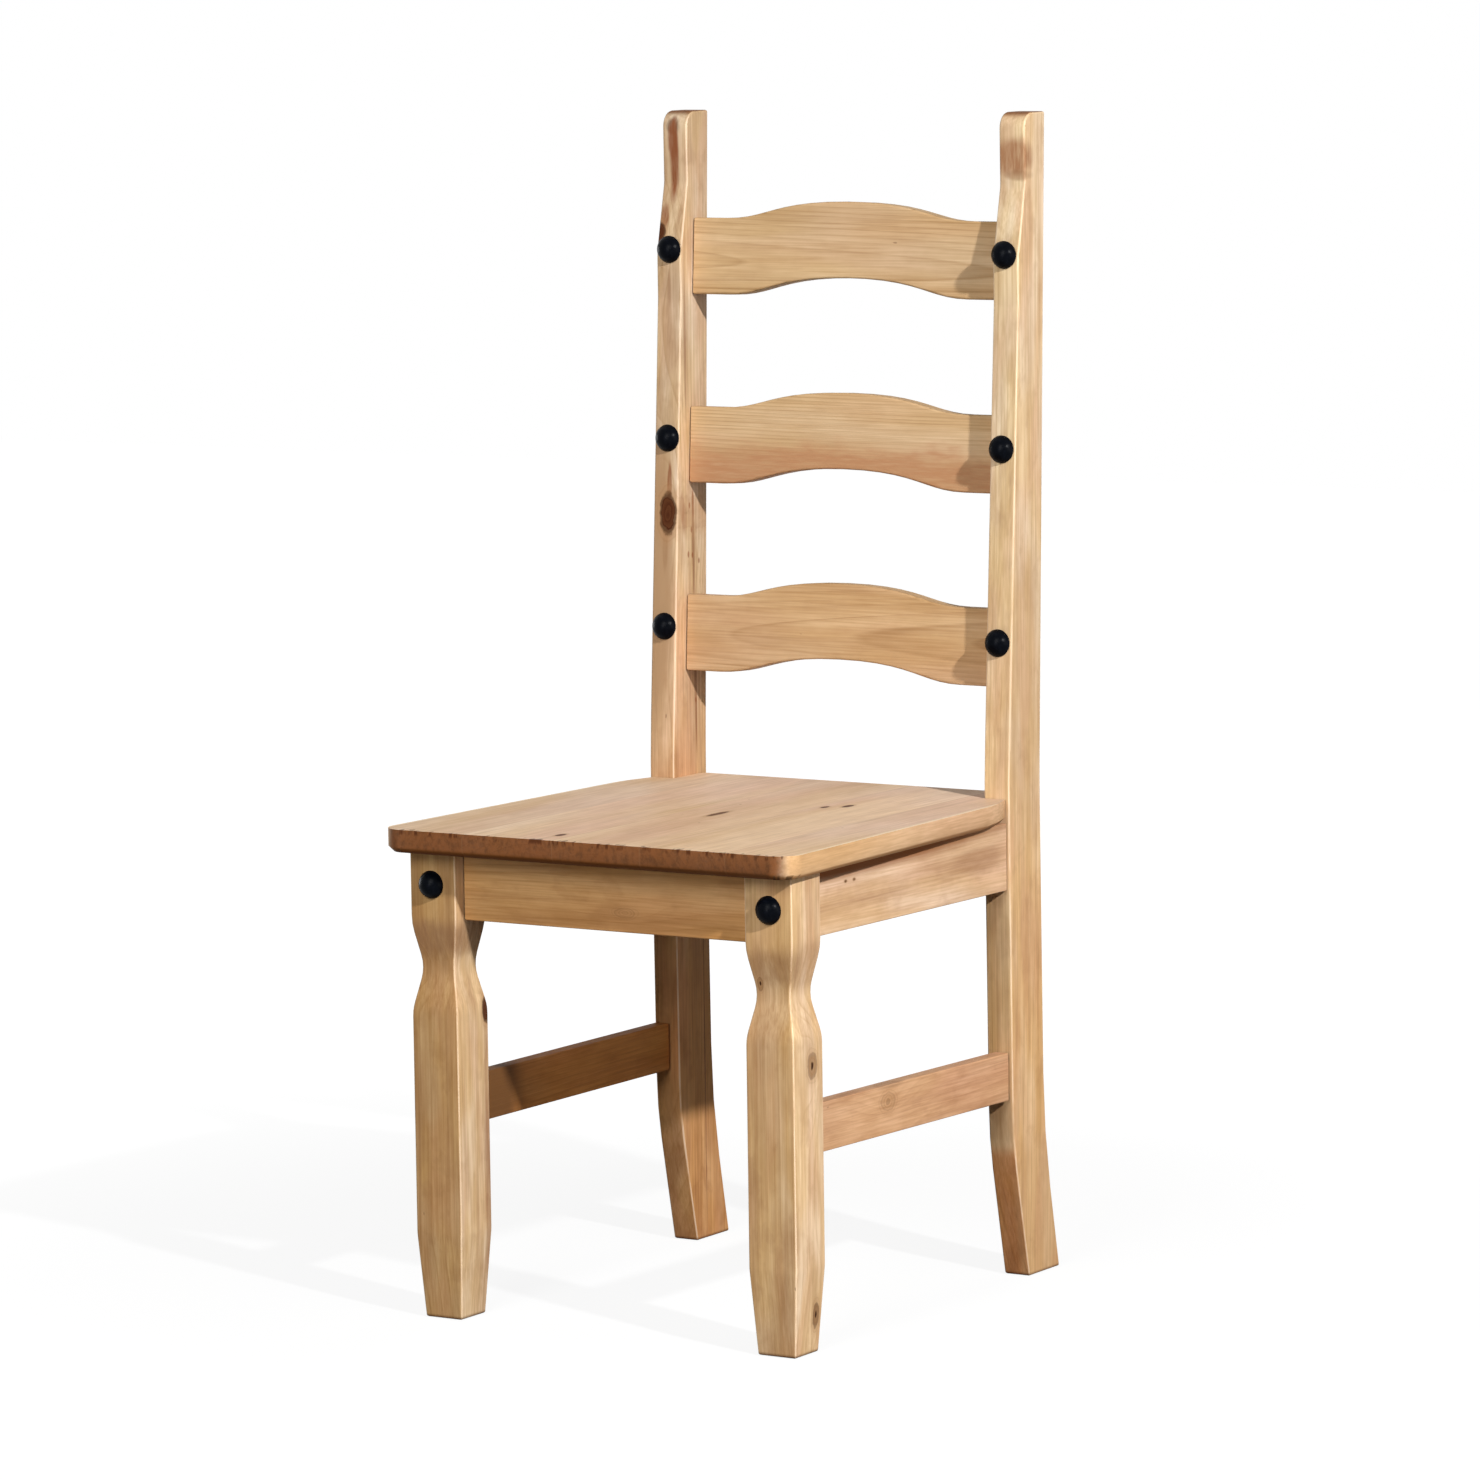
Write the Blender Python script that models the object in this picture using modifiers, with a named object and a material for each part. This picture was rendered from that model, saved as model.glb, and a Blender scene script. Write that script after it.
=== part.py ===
"""Solid pine ladder-back dining chair, built from its separate wooden pieces.

Metres, +Z up. The chair faces -Y, and left and right are as seen from its front.
The origin is on the floor, in the middle of the chair's box.
"""
import math

import bmesh
import bpy
from mathutils import Matrix, Vector

# Gap left between pieces that touch, and around every tenon, dowel and nail.
GAP = 0.0003

# Overall height, and the depth from the seat's front edge to the back of the rear feet.
CHAIR_HEIGHT = 1.070
CHAIR_DEPTH = 0.503

# Seat board.
SEAT_HEIGHT = 0.4468
SEAT_THICKNESS = 0.0212
SEAT_FRONT_HALF = 0.2160
SEAT_REAR_HALF = 0.2020
SEAT_END_HALF = 0.1905
SEAT_EASE_LENGTH = 0.036
SEAT_CORNER_RADIUS = 0.022
SEAT_EASE_RADIUS = 0.130
SEAT_BEHIND_POST_FRONT = 0.0495
SEAT_REAR_CORNER_RADIUS = 0.009
SEAT_TOP_ROUND = 0.0018
SEAT_UNDER_CHAMFER = 0.0050

# Rear posts: each is one board on edge, sawn to shape from the side.
POST_OUTER_HALF = 0.1946
POST_WIDTH = 0.0267
POST_DEPTH = 0.0585
FOOT_DEPTH = 0.0567
KICK_BACK = 0.0288
KICK_HEIGHT = 0.131
KICK_REAR_RADIUS = 0.600
KICK_FRONT_RADIUS = 0.300
KNEE_SET_BACK = 0.0030
RAKE_START = 0.462
RAKE_RADIUS = 1.200
FRONT_RAKE = 0.0595
REAR_RAKE = 0.0315
HEAD_LENGTH = 0.175
NECK_DROP = 0.067
NECK_STRAIGHT = 0.044
NECK_DEPTH = 0.0360
HEAD_DEPTH = 0.0385
NECK_SHOULDER_RADIUS = 0.060
NECK_RADIUS = 0.030
HEAD_ROUND = 0.0150

# Front legs: square stock with a cyma neck below the block, cut alike on all four faces.
LEG_AXIS_X = 0.1761
LEG_FACE_SETBACK = 0.0265
BLOCK_WIDTH = 0.0486
NECK_WIDTH = 0.0328
SHANK_WIDTH = 0.0492
FOOT_WIDTH = 0.0389
BLOCK_UNDER_APRON = 0.0048
NECK_UNDER_BLOCK = 0.0395
SHANK_UNDER_NECK = 0.0375
FOOT_TAPER_HEIGHT = 0.077
BLOCK_CURVE_RADIUS = 0.085
NECK_CURVE_RADIUS = 0.055
SHANK_CURVE_RADIUS = 0.060

# Aprons under the seat.
APRON_HEIGHT = 0.0622
APRON_THICKNESS = 0.0210
FRONT_APRON_SETBACK = 0.0133
REAR_APRON_INSET = 0.0210
SIDE_RAIL_INSET_FRONT = 0.0163
SIDE_RAIL_INSET_REAR = 0.0025

# Side stretchers.
STRETCHER_HEIGHT = 0.0445
STRETCHER_THICKNESS = 0.0150
STRETCHER_BOTTOM_FRONT = 0.1716
STRETCHER_REAR_DROP = 0.0030

# Back slats, from the lowest up.
SLAT_THICKNESS = 0.0200
SLAT_END_HEIGHT = 0.0715
SLAT_SETBACK = 0.0180
LOWEST_SLAT_OVER_SEAT = 0.0994
TOP_SLAT_UNDER_HEAD = 0.1714
SLAT_SHOULDER_HALF = 0.1300
SLAT_TOP_RISE = 0.0165
SLAT_BOTTOM_RISE = 0.0174
SLAT_CROWN_HANDLE = 0.0800
SLAT_SHOULDER_HANDLE = 0.0420
SLAT_CURVE_STEPS = 10

# Tenons on the slats and the stretchers.
TENON_LENGTH = 0.0140
TENON_SHOULDER = 0.0080
SLAT_TENON_THICKNESS = 0.0100
STRETCHER_TENON_THICKNESS = 0.0080
TENON_ROOT = 0.0100

# Domed nail studs.
STUD_RADIUS = 0.0127
STUD_RISE = 0.0090
STUD_RIM = 0.0010
NAIL_RADIUS = 0.0016
NAIL_LENGTH = 0.0130
NAIL_POINT = 0.0030
STUD_OVER_SLAT_BOTTOM = 0.0430
STUD_FROM_POST_OUTER = 0.0145
STUD_FROM_LEG_OUTER = 0.0233
STUD_UNDER_SEAT = 0.0304
STUD_SIDES = 20
DOME_STEPS = 6

# Dowels, corner blocks and seat screws, all hidden under the seat.
DOWEL_RADIUS = 0.0040
DOWEL_LENGTH = 0.0300
DOWEL_DEPTH_IN_POST = 0.0120
DOWEL_FROM_EDGE = 0.0150
DOWEL_SIDES = 12
BLOCK_SETBACK = 0.0270
BLOCK_RUN = 0.0340
BLOCK_HEIGHT = 0.0400
SCREW_RADIUS = 0.0021
SCREW_HEAD_RADIUS = 0.0042
SCREW_HEAD_HEIGHT = 0.0026
SCREW_BITE = 0.0140
SCREW_POINT = 0.0040
SCREW_SIDES = 10

# Small rounds on the sawn arrises.
ARRIS = 0.0020
SMALL_ARRIS = 0.0012
ARC_STEP = math.radians(6.0)

# Places worked out from the sizes above.
SEAT_FRONT_Y = -CHAIR_DEPTH / 2
FOOT_REAR_Y = CHAIR_DEPTH / 2
POST_REAR_Y = FOOT_REAR_Y - KICK_BACK
POST_FRONT_Y = POST_REAR_Y - POST_DEPTH
POST_INNER_HALF = POST_OUTER_HALF - POST_WIDTH
POST_CENTRE_X = POST_OUTER_HALF - POST_WIDTH / 2
SEAT_UNDERSIDE = SEAT_HEIGHT - SEAT_THICKNESS
RAIL_TOP = SEAT_UNDERSIDE - GAP
APRON_BOTTOM = RAIL_TOP - APRON_HEIGHT
LEG_AXIS_Y = SEAT_FRONT_Y + LEG_FACE_SETBACK + BLOCK_WIDTH / 2
BLOCK_FRONT_Y = LEG_AXIS_Y - BLOCK_WIDTH / 2
BLOCK_REAR_Y = LEG_AXIS_Y + BLOCK_WIDTH / 2
SHANK_REAR_Y = LEG_AXIS_Y + SHANK_WIDTH / 2
BLOCK_INNER_X = LEG_AXIS_X - BLOCK_WIDTH / 2
BLOCK_OUTER_X = LEG_AXIS_X + BLOCK_WIDTH / 2
FRONT_APRON_Y = BLOCK_FRONT_Y + FRONT_APRON_SETBACK
REAR_APRON_Y = POST_FRONT_Y + REAR_APRON_INSET
SEAT_REAR_Y = POST_FRONT_Y + SEAT_BEHIND_POST_FRONT

SIDES = {"left": -1, "right": 1}
SLATS = ("bottom", "middle", "top")


def clear_scene():
    """Remove every object, so that the chair is all there is."""
    for thing in list(bpy.data.objects):
        bpy.data.objects.remove(thing, do_unlink=True)


def new_collection(name, parent):
    """Make a collection under another."""
    group = bpy.data.collections.new(name)
    parent.children.link(group)
    return group


def wood(name, colour, roughness=0.55):
    """A plain Principled material."""
    finish = bpy.data.materials.new(name)
    finish.use_nodes = True
    shader = finish.node_tree.nodes["Principled BSDF"]
    shader.inputs["Base Color"].default_value = (*colour, 1.0)
    shader.inputs["Roughness"].default_value = roughness
    shader.inputs["Metallic"].default_value = 0.0
    return finish


def painted_metal(name, colour):
    """Satin paint over a steel stud."""
    finish = wood(name, colour, 0.38)
    finish.node_tree.nodes["Principled BSDF"].inputs["Metallic"].default_value = 0.4
    return finish


def place(mesh, name, finish=None):
    """Put a mesh in the scene, as a piece or, without a finish, as a hidden cutter."""
    piece = bpy.data.objects.new(name, mesh)
    if finish is None:
        CUTTERS.objects.link(piece)
        piece.hide_render = True
        piece.display_type = "WIRE"
    else:
        CHAIR.objects.link(piece)
        if not mesh.materials:
            mesh.materials.append(finish)
    return piece


def rounded(corners):
    """Points of a closed outline whose corners (u, v, radius) are rounded with arcs."""
    points = []
    count = len(corners)
    for index, (u, v, radius) in enumerate(corners):
        here = Vector((u, v))
        if radius <= 0.0:
            points.append(here)
            continue
        back = (Vector(corners[index - 1][:2]) - here).normalized()
        ahead = (Vector(corners[(index + 1) % count][:2]) - here).normalized()
        half = back.angle(ahead) / 2
        turn = math.pi - 2 * half
        tangent = radius / math.tan(half)
        centre = here + (back + ahead).normalized() * (radius / math.sin(half))
        start = here + back * tangent - centre
        spin = 1.0 if back.cross(ahead) < 0.0 else -1.0
        steps = max(2, math.ceil(turn / ARC_STEP))
        for step in range(steps + 1):
            points.append(centre + Matrix.Rotation(spin * turn * step / steps, 2) @ start)
    return points


def board(outline, thickness, turn):
    """A flat outline given thickness about its own plane, then turned into place."""
    curve = bpy.data.curves.new("outline", "CURVE")
    curve.dimensions = "2D"
    curve.fill_mode = "BOTH"
    curve.extrude = thickness / 2
    spline = curve.splines.new("POLY")
    spline.points.add(len(outline) - 1)
    for point, corner in zip(spline.points, outline):
        point.co = (corner[0], corner[1], 0.0, 1.0)
    spline.use_cyclic_u = True
    guide = bpy.data.objects.new("outline", curve)
    bpy.context.scene.collection.objects.link(guide)
    bpy.context.view_layer.update()
    seen = guide.evaluated_get(bpy.context.evaluated_depsgraph_get())
    mesh = bpy.data.meshes.new_from_object(seen)
    bpy.data.objects.remove(guide, do_unlink=True)
    shape = bmesh.new()
    shape.from_mesh(mesh)
    bmesh.ops.remove_doubles(shape, verts=shape.verts, dist=0.00001)
    bmesh.ops.dissolve_limit(shape, angle_limit=0.0005, verts=shape.verts, edges=shape.edges)
    bmesh.ops.recalc_face_normals(shape, faces=shape.faces)
    bmesh.ops.transform(shape, matrix=turn, verts=shape.verts)
    shape.to_mesh(mesh)
    shape.free()
    return mesh


# An outline's own axes, turned so that it is drawn in side view, in front view or in plan.
SIDE_VIEW = Matrix(((0, 0, 1, 0), (1, 0, 0, 0), (0, 1, 0, 0), (0, 0, 0, 1)))
FRONT_VIEW = Matrix(((1, 0, 0, 0), (0, 0, -1, 0), (0, 1, 0, 0), (0, 0, 0, 1)))
PLAN_VIEW = Matrix.Identity(4)


def box(mesh_name, boxes, turn=PLAN_VIEW):
    """One mesh of separate boxes, each given as (low corner, high corner)."""
    shape = bmesh.new()
    for low, high in boxes:
        low = Vector(low)
        high = Vector(high)
        size = Matrix.Diagonal((*(high - low), 1.0))
        bmesh.ops.create_cube(shape, size=1.0, matrix=Matrix.Translation((low + high) / 2) @ size)
    bmesh.ops.transform(shape, matrix=turn, verts=shape.verts)
    mesh = bpy.data.meshes.new(mesh_name)
    shape.to_mesh(mesh)
    shape.free()
    return mesh


def rod(mesh_name, radius, length, sides):
    """A round rod about the Z axis, centred on the origin."""
    shape = bmesh.new()
    bmesh.ops.create_cone(shape, cap_ends=True, segments=sides, radius1=radius, radius2=radius,
                          depth=length)
    mesh = bpy.data.meshes.new(mesh_name)
    shape.to_mesh(mesh)
    shape.free()
    return mesh


def ease(piece, width=ARRIS, segments=2):
    """Round the sawn arrises of a piece."""
    bevel = piece.modifiers.new("eased arrises", "BEVEL")
    bevel.width = width
    bevel.segments = segments
    bevel.limit_method = "ANGLE"
    bevel.angle_limit = math.radians(40.0)


def cut(piece, cutter):
    """Cut one more cutter out of a piece."""
    name = piece.name + "_cuts"
    if name not in bpy.data.collections:
        new_collection(name, CUTTER_ROOT)
        boolean = piece.modifiers.new("cuts", "BOOLEAN")
        boolean.operation = "DIFFERENCE"
        boolean.solver = "EXACT"
        boolean.operand_type = "COLLECTION"
        boolean.collection = bpy.data.collections[name]
    bpy.data.collections[name].objects.link(cutter)


def join(piece, other):
    """Make a hidden shape one body with a piece."""
    union = piece.modifiers.new("tenons", "BOOLEAN")
    union.operation = "UNION"
    union.solver = "EXACT"
    union.object = other


def post_front_y(z):
    """The front face of a rear post between its kick and its head."""
    return POST_FRONT_Y + FRONT_RAKE * max(0.0, z - RAKE_START)


def post_rear_y(z):
    """The rear face of a rear post above its kick."""
    return POST_REAR_Y + REAR_RAKE * max(0.0, z - RAKE_START)


def post_outline():
    """The side view of a rear post: kicked foot, raked back, scooped neck and rounded head."""
    head_start = CHAIR_HEIGHT - HEAD_LENGTH
    neck = CHAIR_HEIGHT - NECK_DROP
    neck_y = post_rear_y(neck) - NECK_DEPTH
    head_y = post_rear_y(CHAIR_HEIGHT) - HEAD_DEPTH
    return rounded([
        (FOOT_REAR_Y - FOOT_DEPTH, 0.0, 0.0),
        (FOOT_REAR_Y, 0.0, 0.0),
        (POST_REAR_Y + KNEE_SET_BACK, KICK_HEIGHT, KICK_REAR_RADIUS),
        (POST_REAR_Y, RAKE_START, RAKE_RADIUS),
        (post_rear_y(CHAIR_HEIGHT), CHAIR_HEIGHT, 0.0),
        (head_y, CHAIR_HEIGHT, HEAD_ROUND),
        (neck_y, neck, NECK_RADIUS),
        (post_front_y(head_start), head_start + NECK_STRAIGHT, NECK_SHOULDER_RADIUS),
        (post_front_y(head_start), head_start, NECK_SHOULDER_RADIUS),
        (POST_FRONT_Y, RAKE_START, RAKE_RADIUS),
        (POST_FRONT_Y + KNEE_SET_BACK, KICK_HEIGHT, KICK_FRONT_RADIUS),
    ])


def make_rear_post(side, finish):
    """A rear leg and back upright in one piece."""
    mesh = board(post_outline(), POST_WIDTH, SIDE_VIEW)
    post = place(mesh, "rear_post_" + side, finish)
    post.location.x = SIDES[side] * POST_CENTRE_X
    ease(post)
    return post


def leg_profile():
    """Half widths and heights of a front leg from the top down, with its fillets."""
    half_block = BLOCK_WIDTH / 2
    half_shank = SHANK_WIDTH / 2
    curve_start = APRON_BOTTOM - BLOCK_UNDER_APRON
    neck = curve_start - NECK_UNDER_BLOCK
    corners = rounded([
        (0.0, RAIL_TOP, 0.0),
        (half_block, RAIL_TOP, 0.0),
        (half_block, curve_start, BLOCK_CURVE_RADIUS),
        (NECK_WIDTH / 2, neck, NECK_CURVE_RADIUS),
        (half_shank, neck - SHANK_UNDER_NECK, SHANK_CURVE_RADIUS),
        (half_shank, FOOT_TAPER_HEIGHT, SHANK_CURVE_RADIUS),
        (FOOT_WIDTH / 2, 0.0, 0.0),
        (0.0, 0.0, 0.0),
    ])
    return corners


def half_section(mesh_name, profile):
    """A line of (radius, height) points from the top down, ready to be swept round Z."""
    shape = bmesh.new()
    line = [shape.verts.new((radius, 0.0, height)) for radius, height in profile]
    for above, below in zip(line, line[1:]):
        shape.edges.new((above, below))
    mesh = bpy.data.meshes.new(mesh_name)
    shape.to_mesh(mesh)
    shape.free()
    return mesh


def sweep(piece, sides, smooth):
    """The Screw modifier that turns a profile into a body."""
    screw = piece.modifiers.new("turned", "SCREW")
    screw.steps = sides
    screw.render_steps = sides
    screw.use_merge_vertices = True
    screw.merge_threshold = 0.00001
    screw.use_smooth_shade = smooth


def make_front_leg(side, finish):
    """A front leg: four equal swept faces, which a four-sided sweep of the profile gives."""
    corner = math.sqrt(2.0)
    profile = [(half * corner, height) for half, height in leg_profile()]
    leg = place(half_section("front_leg_" + side, profile), "front_leg_" + side, finish)
    leg.location = (SIDES[side] * LEG_AXIS_X, LEG_AXIS_Y, 0.0)
    leg.rotation_euler.z = math.radians(45.0)
    sweep(leg, 4, False)
    ease(leg)
    return leg


def rail_outer_x(y):
    """The outer face of a side apron or stretcher, which splays a little to the rear."""
    front = BLOCK_OUTER_X - SIDE_RAIL_INSET_FRONT
    rear = POST_OUTER_HALF - SIDE_RAIL_INSET_REAR
    return front + (rear - front) * (y - BLOCK_REAR_Y) / (POST_FRONT_Y - BLOCK_REAR_Y)


def make_cross_apron(name, half_length, front_y, finish):
    """A front or rear apron between two legs."""
    low = (-half_length + GAP, front_y, APRON_BOTTOM)
    high = (half_length - GAP, front_y + APRON_THICKNESS, RAIL_TOP)
    apron = place(box(name, [(low, high)]), name, finish)
    ease(apron, SMALL_ARRIS)
    return apron


def make_side_apron(side, finish):
    """A side apron, whose ends lie flat on the leg and on the post."""
    sign = SIDES[side]
    front = BLOCK_REAR_Y + GAP
    rear = POST_FRONT_Y - GAP
    outline = [
        (sign * rail_outer_x(front), front),
        (sign * rail_outer_x(rear), rear),
        (sign * (rail_outer_x(rear) - APRON_THICKNESS), rear),
        (sign * (rail_outer_x(front) - APRON_THICKNESS), front),
    ]
    name = "side_apron_" + side
    apron = place(board(outline, APRON_HEIGHT, PLAN_VIEW), name, finish)
    apron.location.z = APRON_BOTTOM + APRON_HEIGHT / 2
    ease(apron, SMALL_ARRIS)
    return apron


def stretcher_turn(side):
    """The lean of a stretcher in plan and in side view, as a shear along Y."""
    front = SHANK_REAR_Y
    rear = POST_FRONT_Y
    sign = SIDES[side]
    middle = STRETCHER_THICKNESS / 2
    splay = (rail_outer_x(rear) - rail_outer_x(front)) / (rear - front)
    drop = -STRETCHER_REAR_DROP / (rear - front)
    shear = Matrix.Identity(4)
    shear[0][1] = sign * splay
    shear[2][1] = drop
    offset = Matrix.Translation((0.0, -front, 0.0))
    home = Matrix.Translation((sign * (rail_outer_x(front) - middle), front, STRETCHER_BOTTOM_FRONT))
    return home @ shear @ offset


def stretcher_tenons(extra):
    """The two tenons of a stretcher, before it is leant, grown by a clearance."""
    half = STRETCHER_TENON_THICKNESS / 2 + extra
    low = TENON_SHOULDER - extra
    high = STRETCHER_HEIGHT - TENON_SHOULDER + extra
    reach = TENON_LENGTH + extra
    return [
        ((-half, SHANK_REAR_Y - reach, low), (half, SHANK_REAR_Y + TENON_ROOT, high)),
        ((-half, POST_FRONT_Y - TENON_ROOT, low), (half, POST_FRONT_Y + reach, high)),
    ]


def make_stretcher(side, finish, leg, post):
    """A side stretcher, tenoned into the front leg and the rear post."""
    turn = stretcher_turn(side)
    half = STRETCHER_THICKNESS / 2
    body = ((-half, SHANK_REAR_Y + GAP, 0.0), (half, POST_FRONT_Y - GAP, STRETCHER_HEIGHT))
    name = "side_stretcher_" + side
    stretcher = place(box(name, [body], turn), name, finish)
    ease(stretcher, SMALL_ARRIS)
    join(stretcher, place(box(name + "_tenons", stretcher_tenons(0.0), turn), name + "_tenons"))
    mortises = place(box(name + "_mortises", stretcher_tenons(GAP), turn), name + "_mortises")
    cut(leg, mortises)
    cut(post, mortises)
    return stretcher


def bow(rise, level, half):
    """One bowed edge of a slat, from its right shoulder to its left, as two cubic sweeps."""
    def sweep_point(share):
        rest = 1.0 - share
        controls = (half, half - SLAT_SHOULDER_HANDLE, SLAT_CROWN_HANDLE, 0.0)
        heights = (0.0, 0.0, rise, rise)
        weights = (rest ** 3, 3 * rest ** 2 * share, 3 * rest * share ** 2, share ** 3)
        x = sum(weight * control for weight, control in zip(weights, controls))
        z = sum(weight * height for weight, height in zip(weights, heights))
        return x, level + z
    right = [sweep_point(step / SLAT_CURVE_STEPS) for step in range(SLAT_CURVE_STEPS + 1)]
    left = [(-x, z) for x, z in reversed(right[:-1])]
    return right + left


def slat_outline():
    """The front view of a slat, from its bottom edge at the posts: a cupid's bow on both edges."""
    end = POST_INNER_HALF - GAP
    top = bow(SLAT_TOP_RISE, SLAT_END_HEIGHT, SLAT_SHOULDER_HALF)
    bottom = bow(SLAT_BOTTOM_RISE, 0.0, SLAT_SHOULDER_HALF)
    outline = [(end, 0.0), (end, SLAT_END_HEIGHT)]
    outline += top
    outline += [(-end, SLAT_END_HEIGHT), (-end, 0.0)]
    outline += list(reversed(bottom))
    return outline


def slat_tenons(extra):
    """The two tenons of a slat, grown by a clearance."""
    half = SLAT_TENON_THICKNESS / 2 + extra
    low = TENON_SHOULDER - extra
    high = SLAT_END_HEIGHT - TENON_SHOULDER + extra
    root = POST_INNER_HALF - TENON_ROOT
    tip = POST_INNER_HALF + TENON_LENGTH + extra
    return [((-tip, -half, low), (-root, half, high)), ((root, -half, low), (tip, half, high))]


def slat_bottom(level):
    """Height of a slat's bottom edge at the posts."""
    lowest = SEAT_HEIGHT + LOWEST_SLAT_OVER_SEAT
    highest = CHAIR_HEIGHT - TOP_SLAT_UNDER_HEAD
    return lowest + (highest - lowest) * level / (len(SLATS) - 1)


def make_slat(level, finish, posts):
    """A back slat, set back from the posts' front faces and leaning with them."""
    name = "back_slat_" + SLATS[level]
    lean = math.atan(FRONT_RAKE)
    bottom = slat_bottom(level)
    centre_y = post_front_y(bottom) + SLAT_SETBACK + SLAT_THICKNESS / 2
    slat = place(board(slat_outline(), SLAT_THICKNESS, FRONT_VIEW), name, finish)
    tenons = place(box(name + "_tenons", slat_tenons(0.0)), name + "_tenons")
    mortises = place(box(name + "_mortises", slat_tenons(GAP)), name + "_mortises")
    for thing in (slat, tenons, mortises):
        thing.location = (0.0, centre_y, bottom)
        thing.rotation_euler.x = -lean
    ease(slat)
    join(slat, tenons)
    for post in posts:
        cut(post, mortises)
    return slat


def seat_outline():
    """The seat board in plan: tapered to the rear, round front corners, notched at the posts."""
    post_gap_y = POST_FRONT_Y - GAP
    notch_x = POST_INNER_HALF - GAP
    right = [
        (SEAT_FRONT_HALF, SEAT_FRONT_Y, SEAT_CORNER_RADIUS),
        (SEAT_REAR_HALF, post_gap_y - SEAT_EASE_LENGTH, SEAT_EASE_RADIUS),
        (SEAT_END_HALF, post_gap_y, 0.0),
        (notch_x, post_gap_y, 0.0),
        (notch_x, SEAT_REAR_Y, SEAT_REAR_CORNER_RADIUS),
    ]
    left = [(-x, y, radius) for x, y, radius in reversed(right)]
    return rounded(right + left)


def bevel_rim(mesh, level, offset, segments):
    """Cut a bevel round the seat's edge at one level, but not where it butts on the posts."""
    shape = bmesh.new()
    shape.from_mesh(mesh)
    notch_y = POST_FRONT_Y - GAP
    chosen = []
    for edge in shape.edges:
        ends = [vertex.co for vertex in edge.verts]
        on_level = all(abs(end.z - level) < GAP for end in ends)
        at_notch = all(abs(end.y - notch_y) < GAP for end in ends)
        if on_level and not at_notch and len(edge.link_faces) == 2:
            chosen.append(edge)
    bmesh.ops.bevel(shape, geom=chosen, offset=offset, segments=segments, profile=0.5,
                    affect="EDGES", clamp_overlap=True)
    shape.to_mesh(mesh)
    shape.free()


def make_seat(finish):
    """The seat board, with a small round above and a wide chamfer below its free edges."""
    mesh = board(seat_outline(), SEAT_THICKNESS, PLAN_VIEW)
    bevel_rim(mesh, -SEAT_THICKNESS / 2, SEAT_UNDER_CHAMFER, 1)
    bevel_rim(mesh, SEAT_THICKNESS / 2, SEAT_TOP_ROUND, 2)
    seat = place(mesh, "seat_board", finish)
    seat.location.z = SEAT_UNDERSIDE + SEAT_THICKNESS / 2
    return seat


def stud_profile():
    """Half section of a stud from the top of its dome down to the nail's point."""
    sphere = (STUD_RADIUS ** 2 + STUD_RISE ** 2) / (2 * STUD_RISE)
    rim_angle = math.asin(STUD_RADIUS / sphere)
    centre = STUD_RIM + STUD_RISE - sphere
    points = []
    for step in range(DOME_STEPS + 1):
        angle = rim_angle * step / DOME_STEPS
        points.append((sphere * math.sin(angle), centre + sphere * math.cos(angle)))
    points.append((STUD_RADIUS, 0.0))
    points.append((NAIL_RADIUS, 0.0))
    points.append((NAIL_RADIUS, NAIL_POINT - NAIL_LENGTH))
    points.append((0.0, -NAIL_LENGTH))
    return points


def make_stud(name, x, face_y, z, lean, finish, host):
    """A domed stud on a front face, its nail in a hole drilled square to that face."""
    face = Vector((x, face_y, z))
    out = Vector((0.0, -math.cos(lean), math.sin(lean)))
    turn = out.to_track_quat("Z", "Y").to_euler()
    stud = place(STUD_MESH, name, finish)
    stud.location = face + out * GAP
    stud.rotation_euler = turn
    sweep(stud, STUD_SIDES, True)
    hole = place(STUD_HOLE_MESH, name + "_hole")
    hole.location = face - out * (NAIL_LENGTH / 2)
    hole.rotation_euler = turn
    cut(host, hole)


def make_dowel(name, centre, turn, finish, hosts):
    """A dowel, and the hole for it in the pieces that it joins."""
    dowel = place(DOWEL_MESH, name, finish)
    hole = place(DOWEL_HOLE_MESH, name + "_hole")
    for thing in (dowel, hole):
        thing.location = centre
        thing.rotation_euler = turn
    for host in hosts:
        cut(host, hole)


def make_apron_dowels(side, aprons, legs, posts, finish):
    """The dowels in both joints of one front leg and in both joints of one rear post."""
    sign = SIDES[side]
    along_x = (0.0, math.radians(90.0), 0.0)
    along_y = (math.radians(90.0), 0.0, 0.0)
    middle = DOWEL_LENGTH / 2 - DOWEL_DEPTH_IN_POST
    heights = {"lower": APRON_BOTTOM + DOWEL_FROM_EDGE, "upper": RAIL_TOP - DOWEL_FROM_EDGE}
    for level, z in heights.items():
        for end, inner_x, apron_y, host in (
                ("front", BLOCK_INNER_X, FRONT_APRON_Y, legs[side]),
                ("rear", POST_INNER_HALF, REAR_APRON_Y, posts[side])):
            centre = (sign * (inner_x - middle), apron_y + APRON_THICKNESS / 2, z)
            name = end + "_apron_dowel_" + side + "_" + level
            make_dowel(name, centre, along_x, finish, (aprons[end], host))
        for end, face_y, into, host in (
                ("front", BLOCK_REAR_Y, -1, legs[side]), ("rear", POST_FRONT_Y, 1, posts[side])):
            x = sign * (rail_outer_x(face_y) - APRON_THICKNESS / 2)
            centre = (x, face_y - into * middle, z)
            name = "side_apron_dowel_" + side + "_" + end + "_" + level
            make_dowel(name, centre, along_y, finish, (aprons[side], host))


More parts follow.
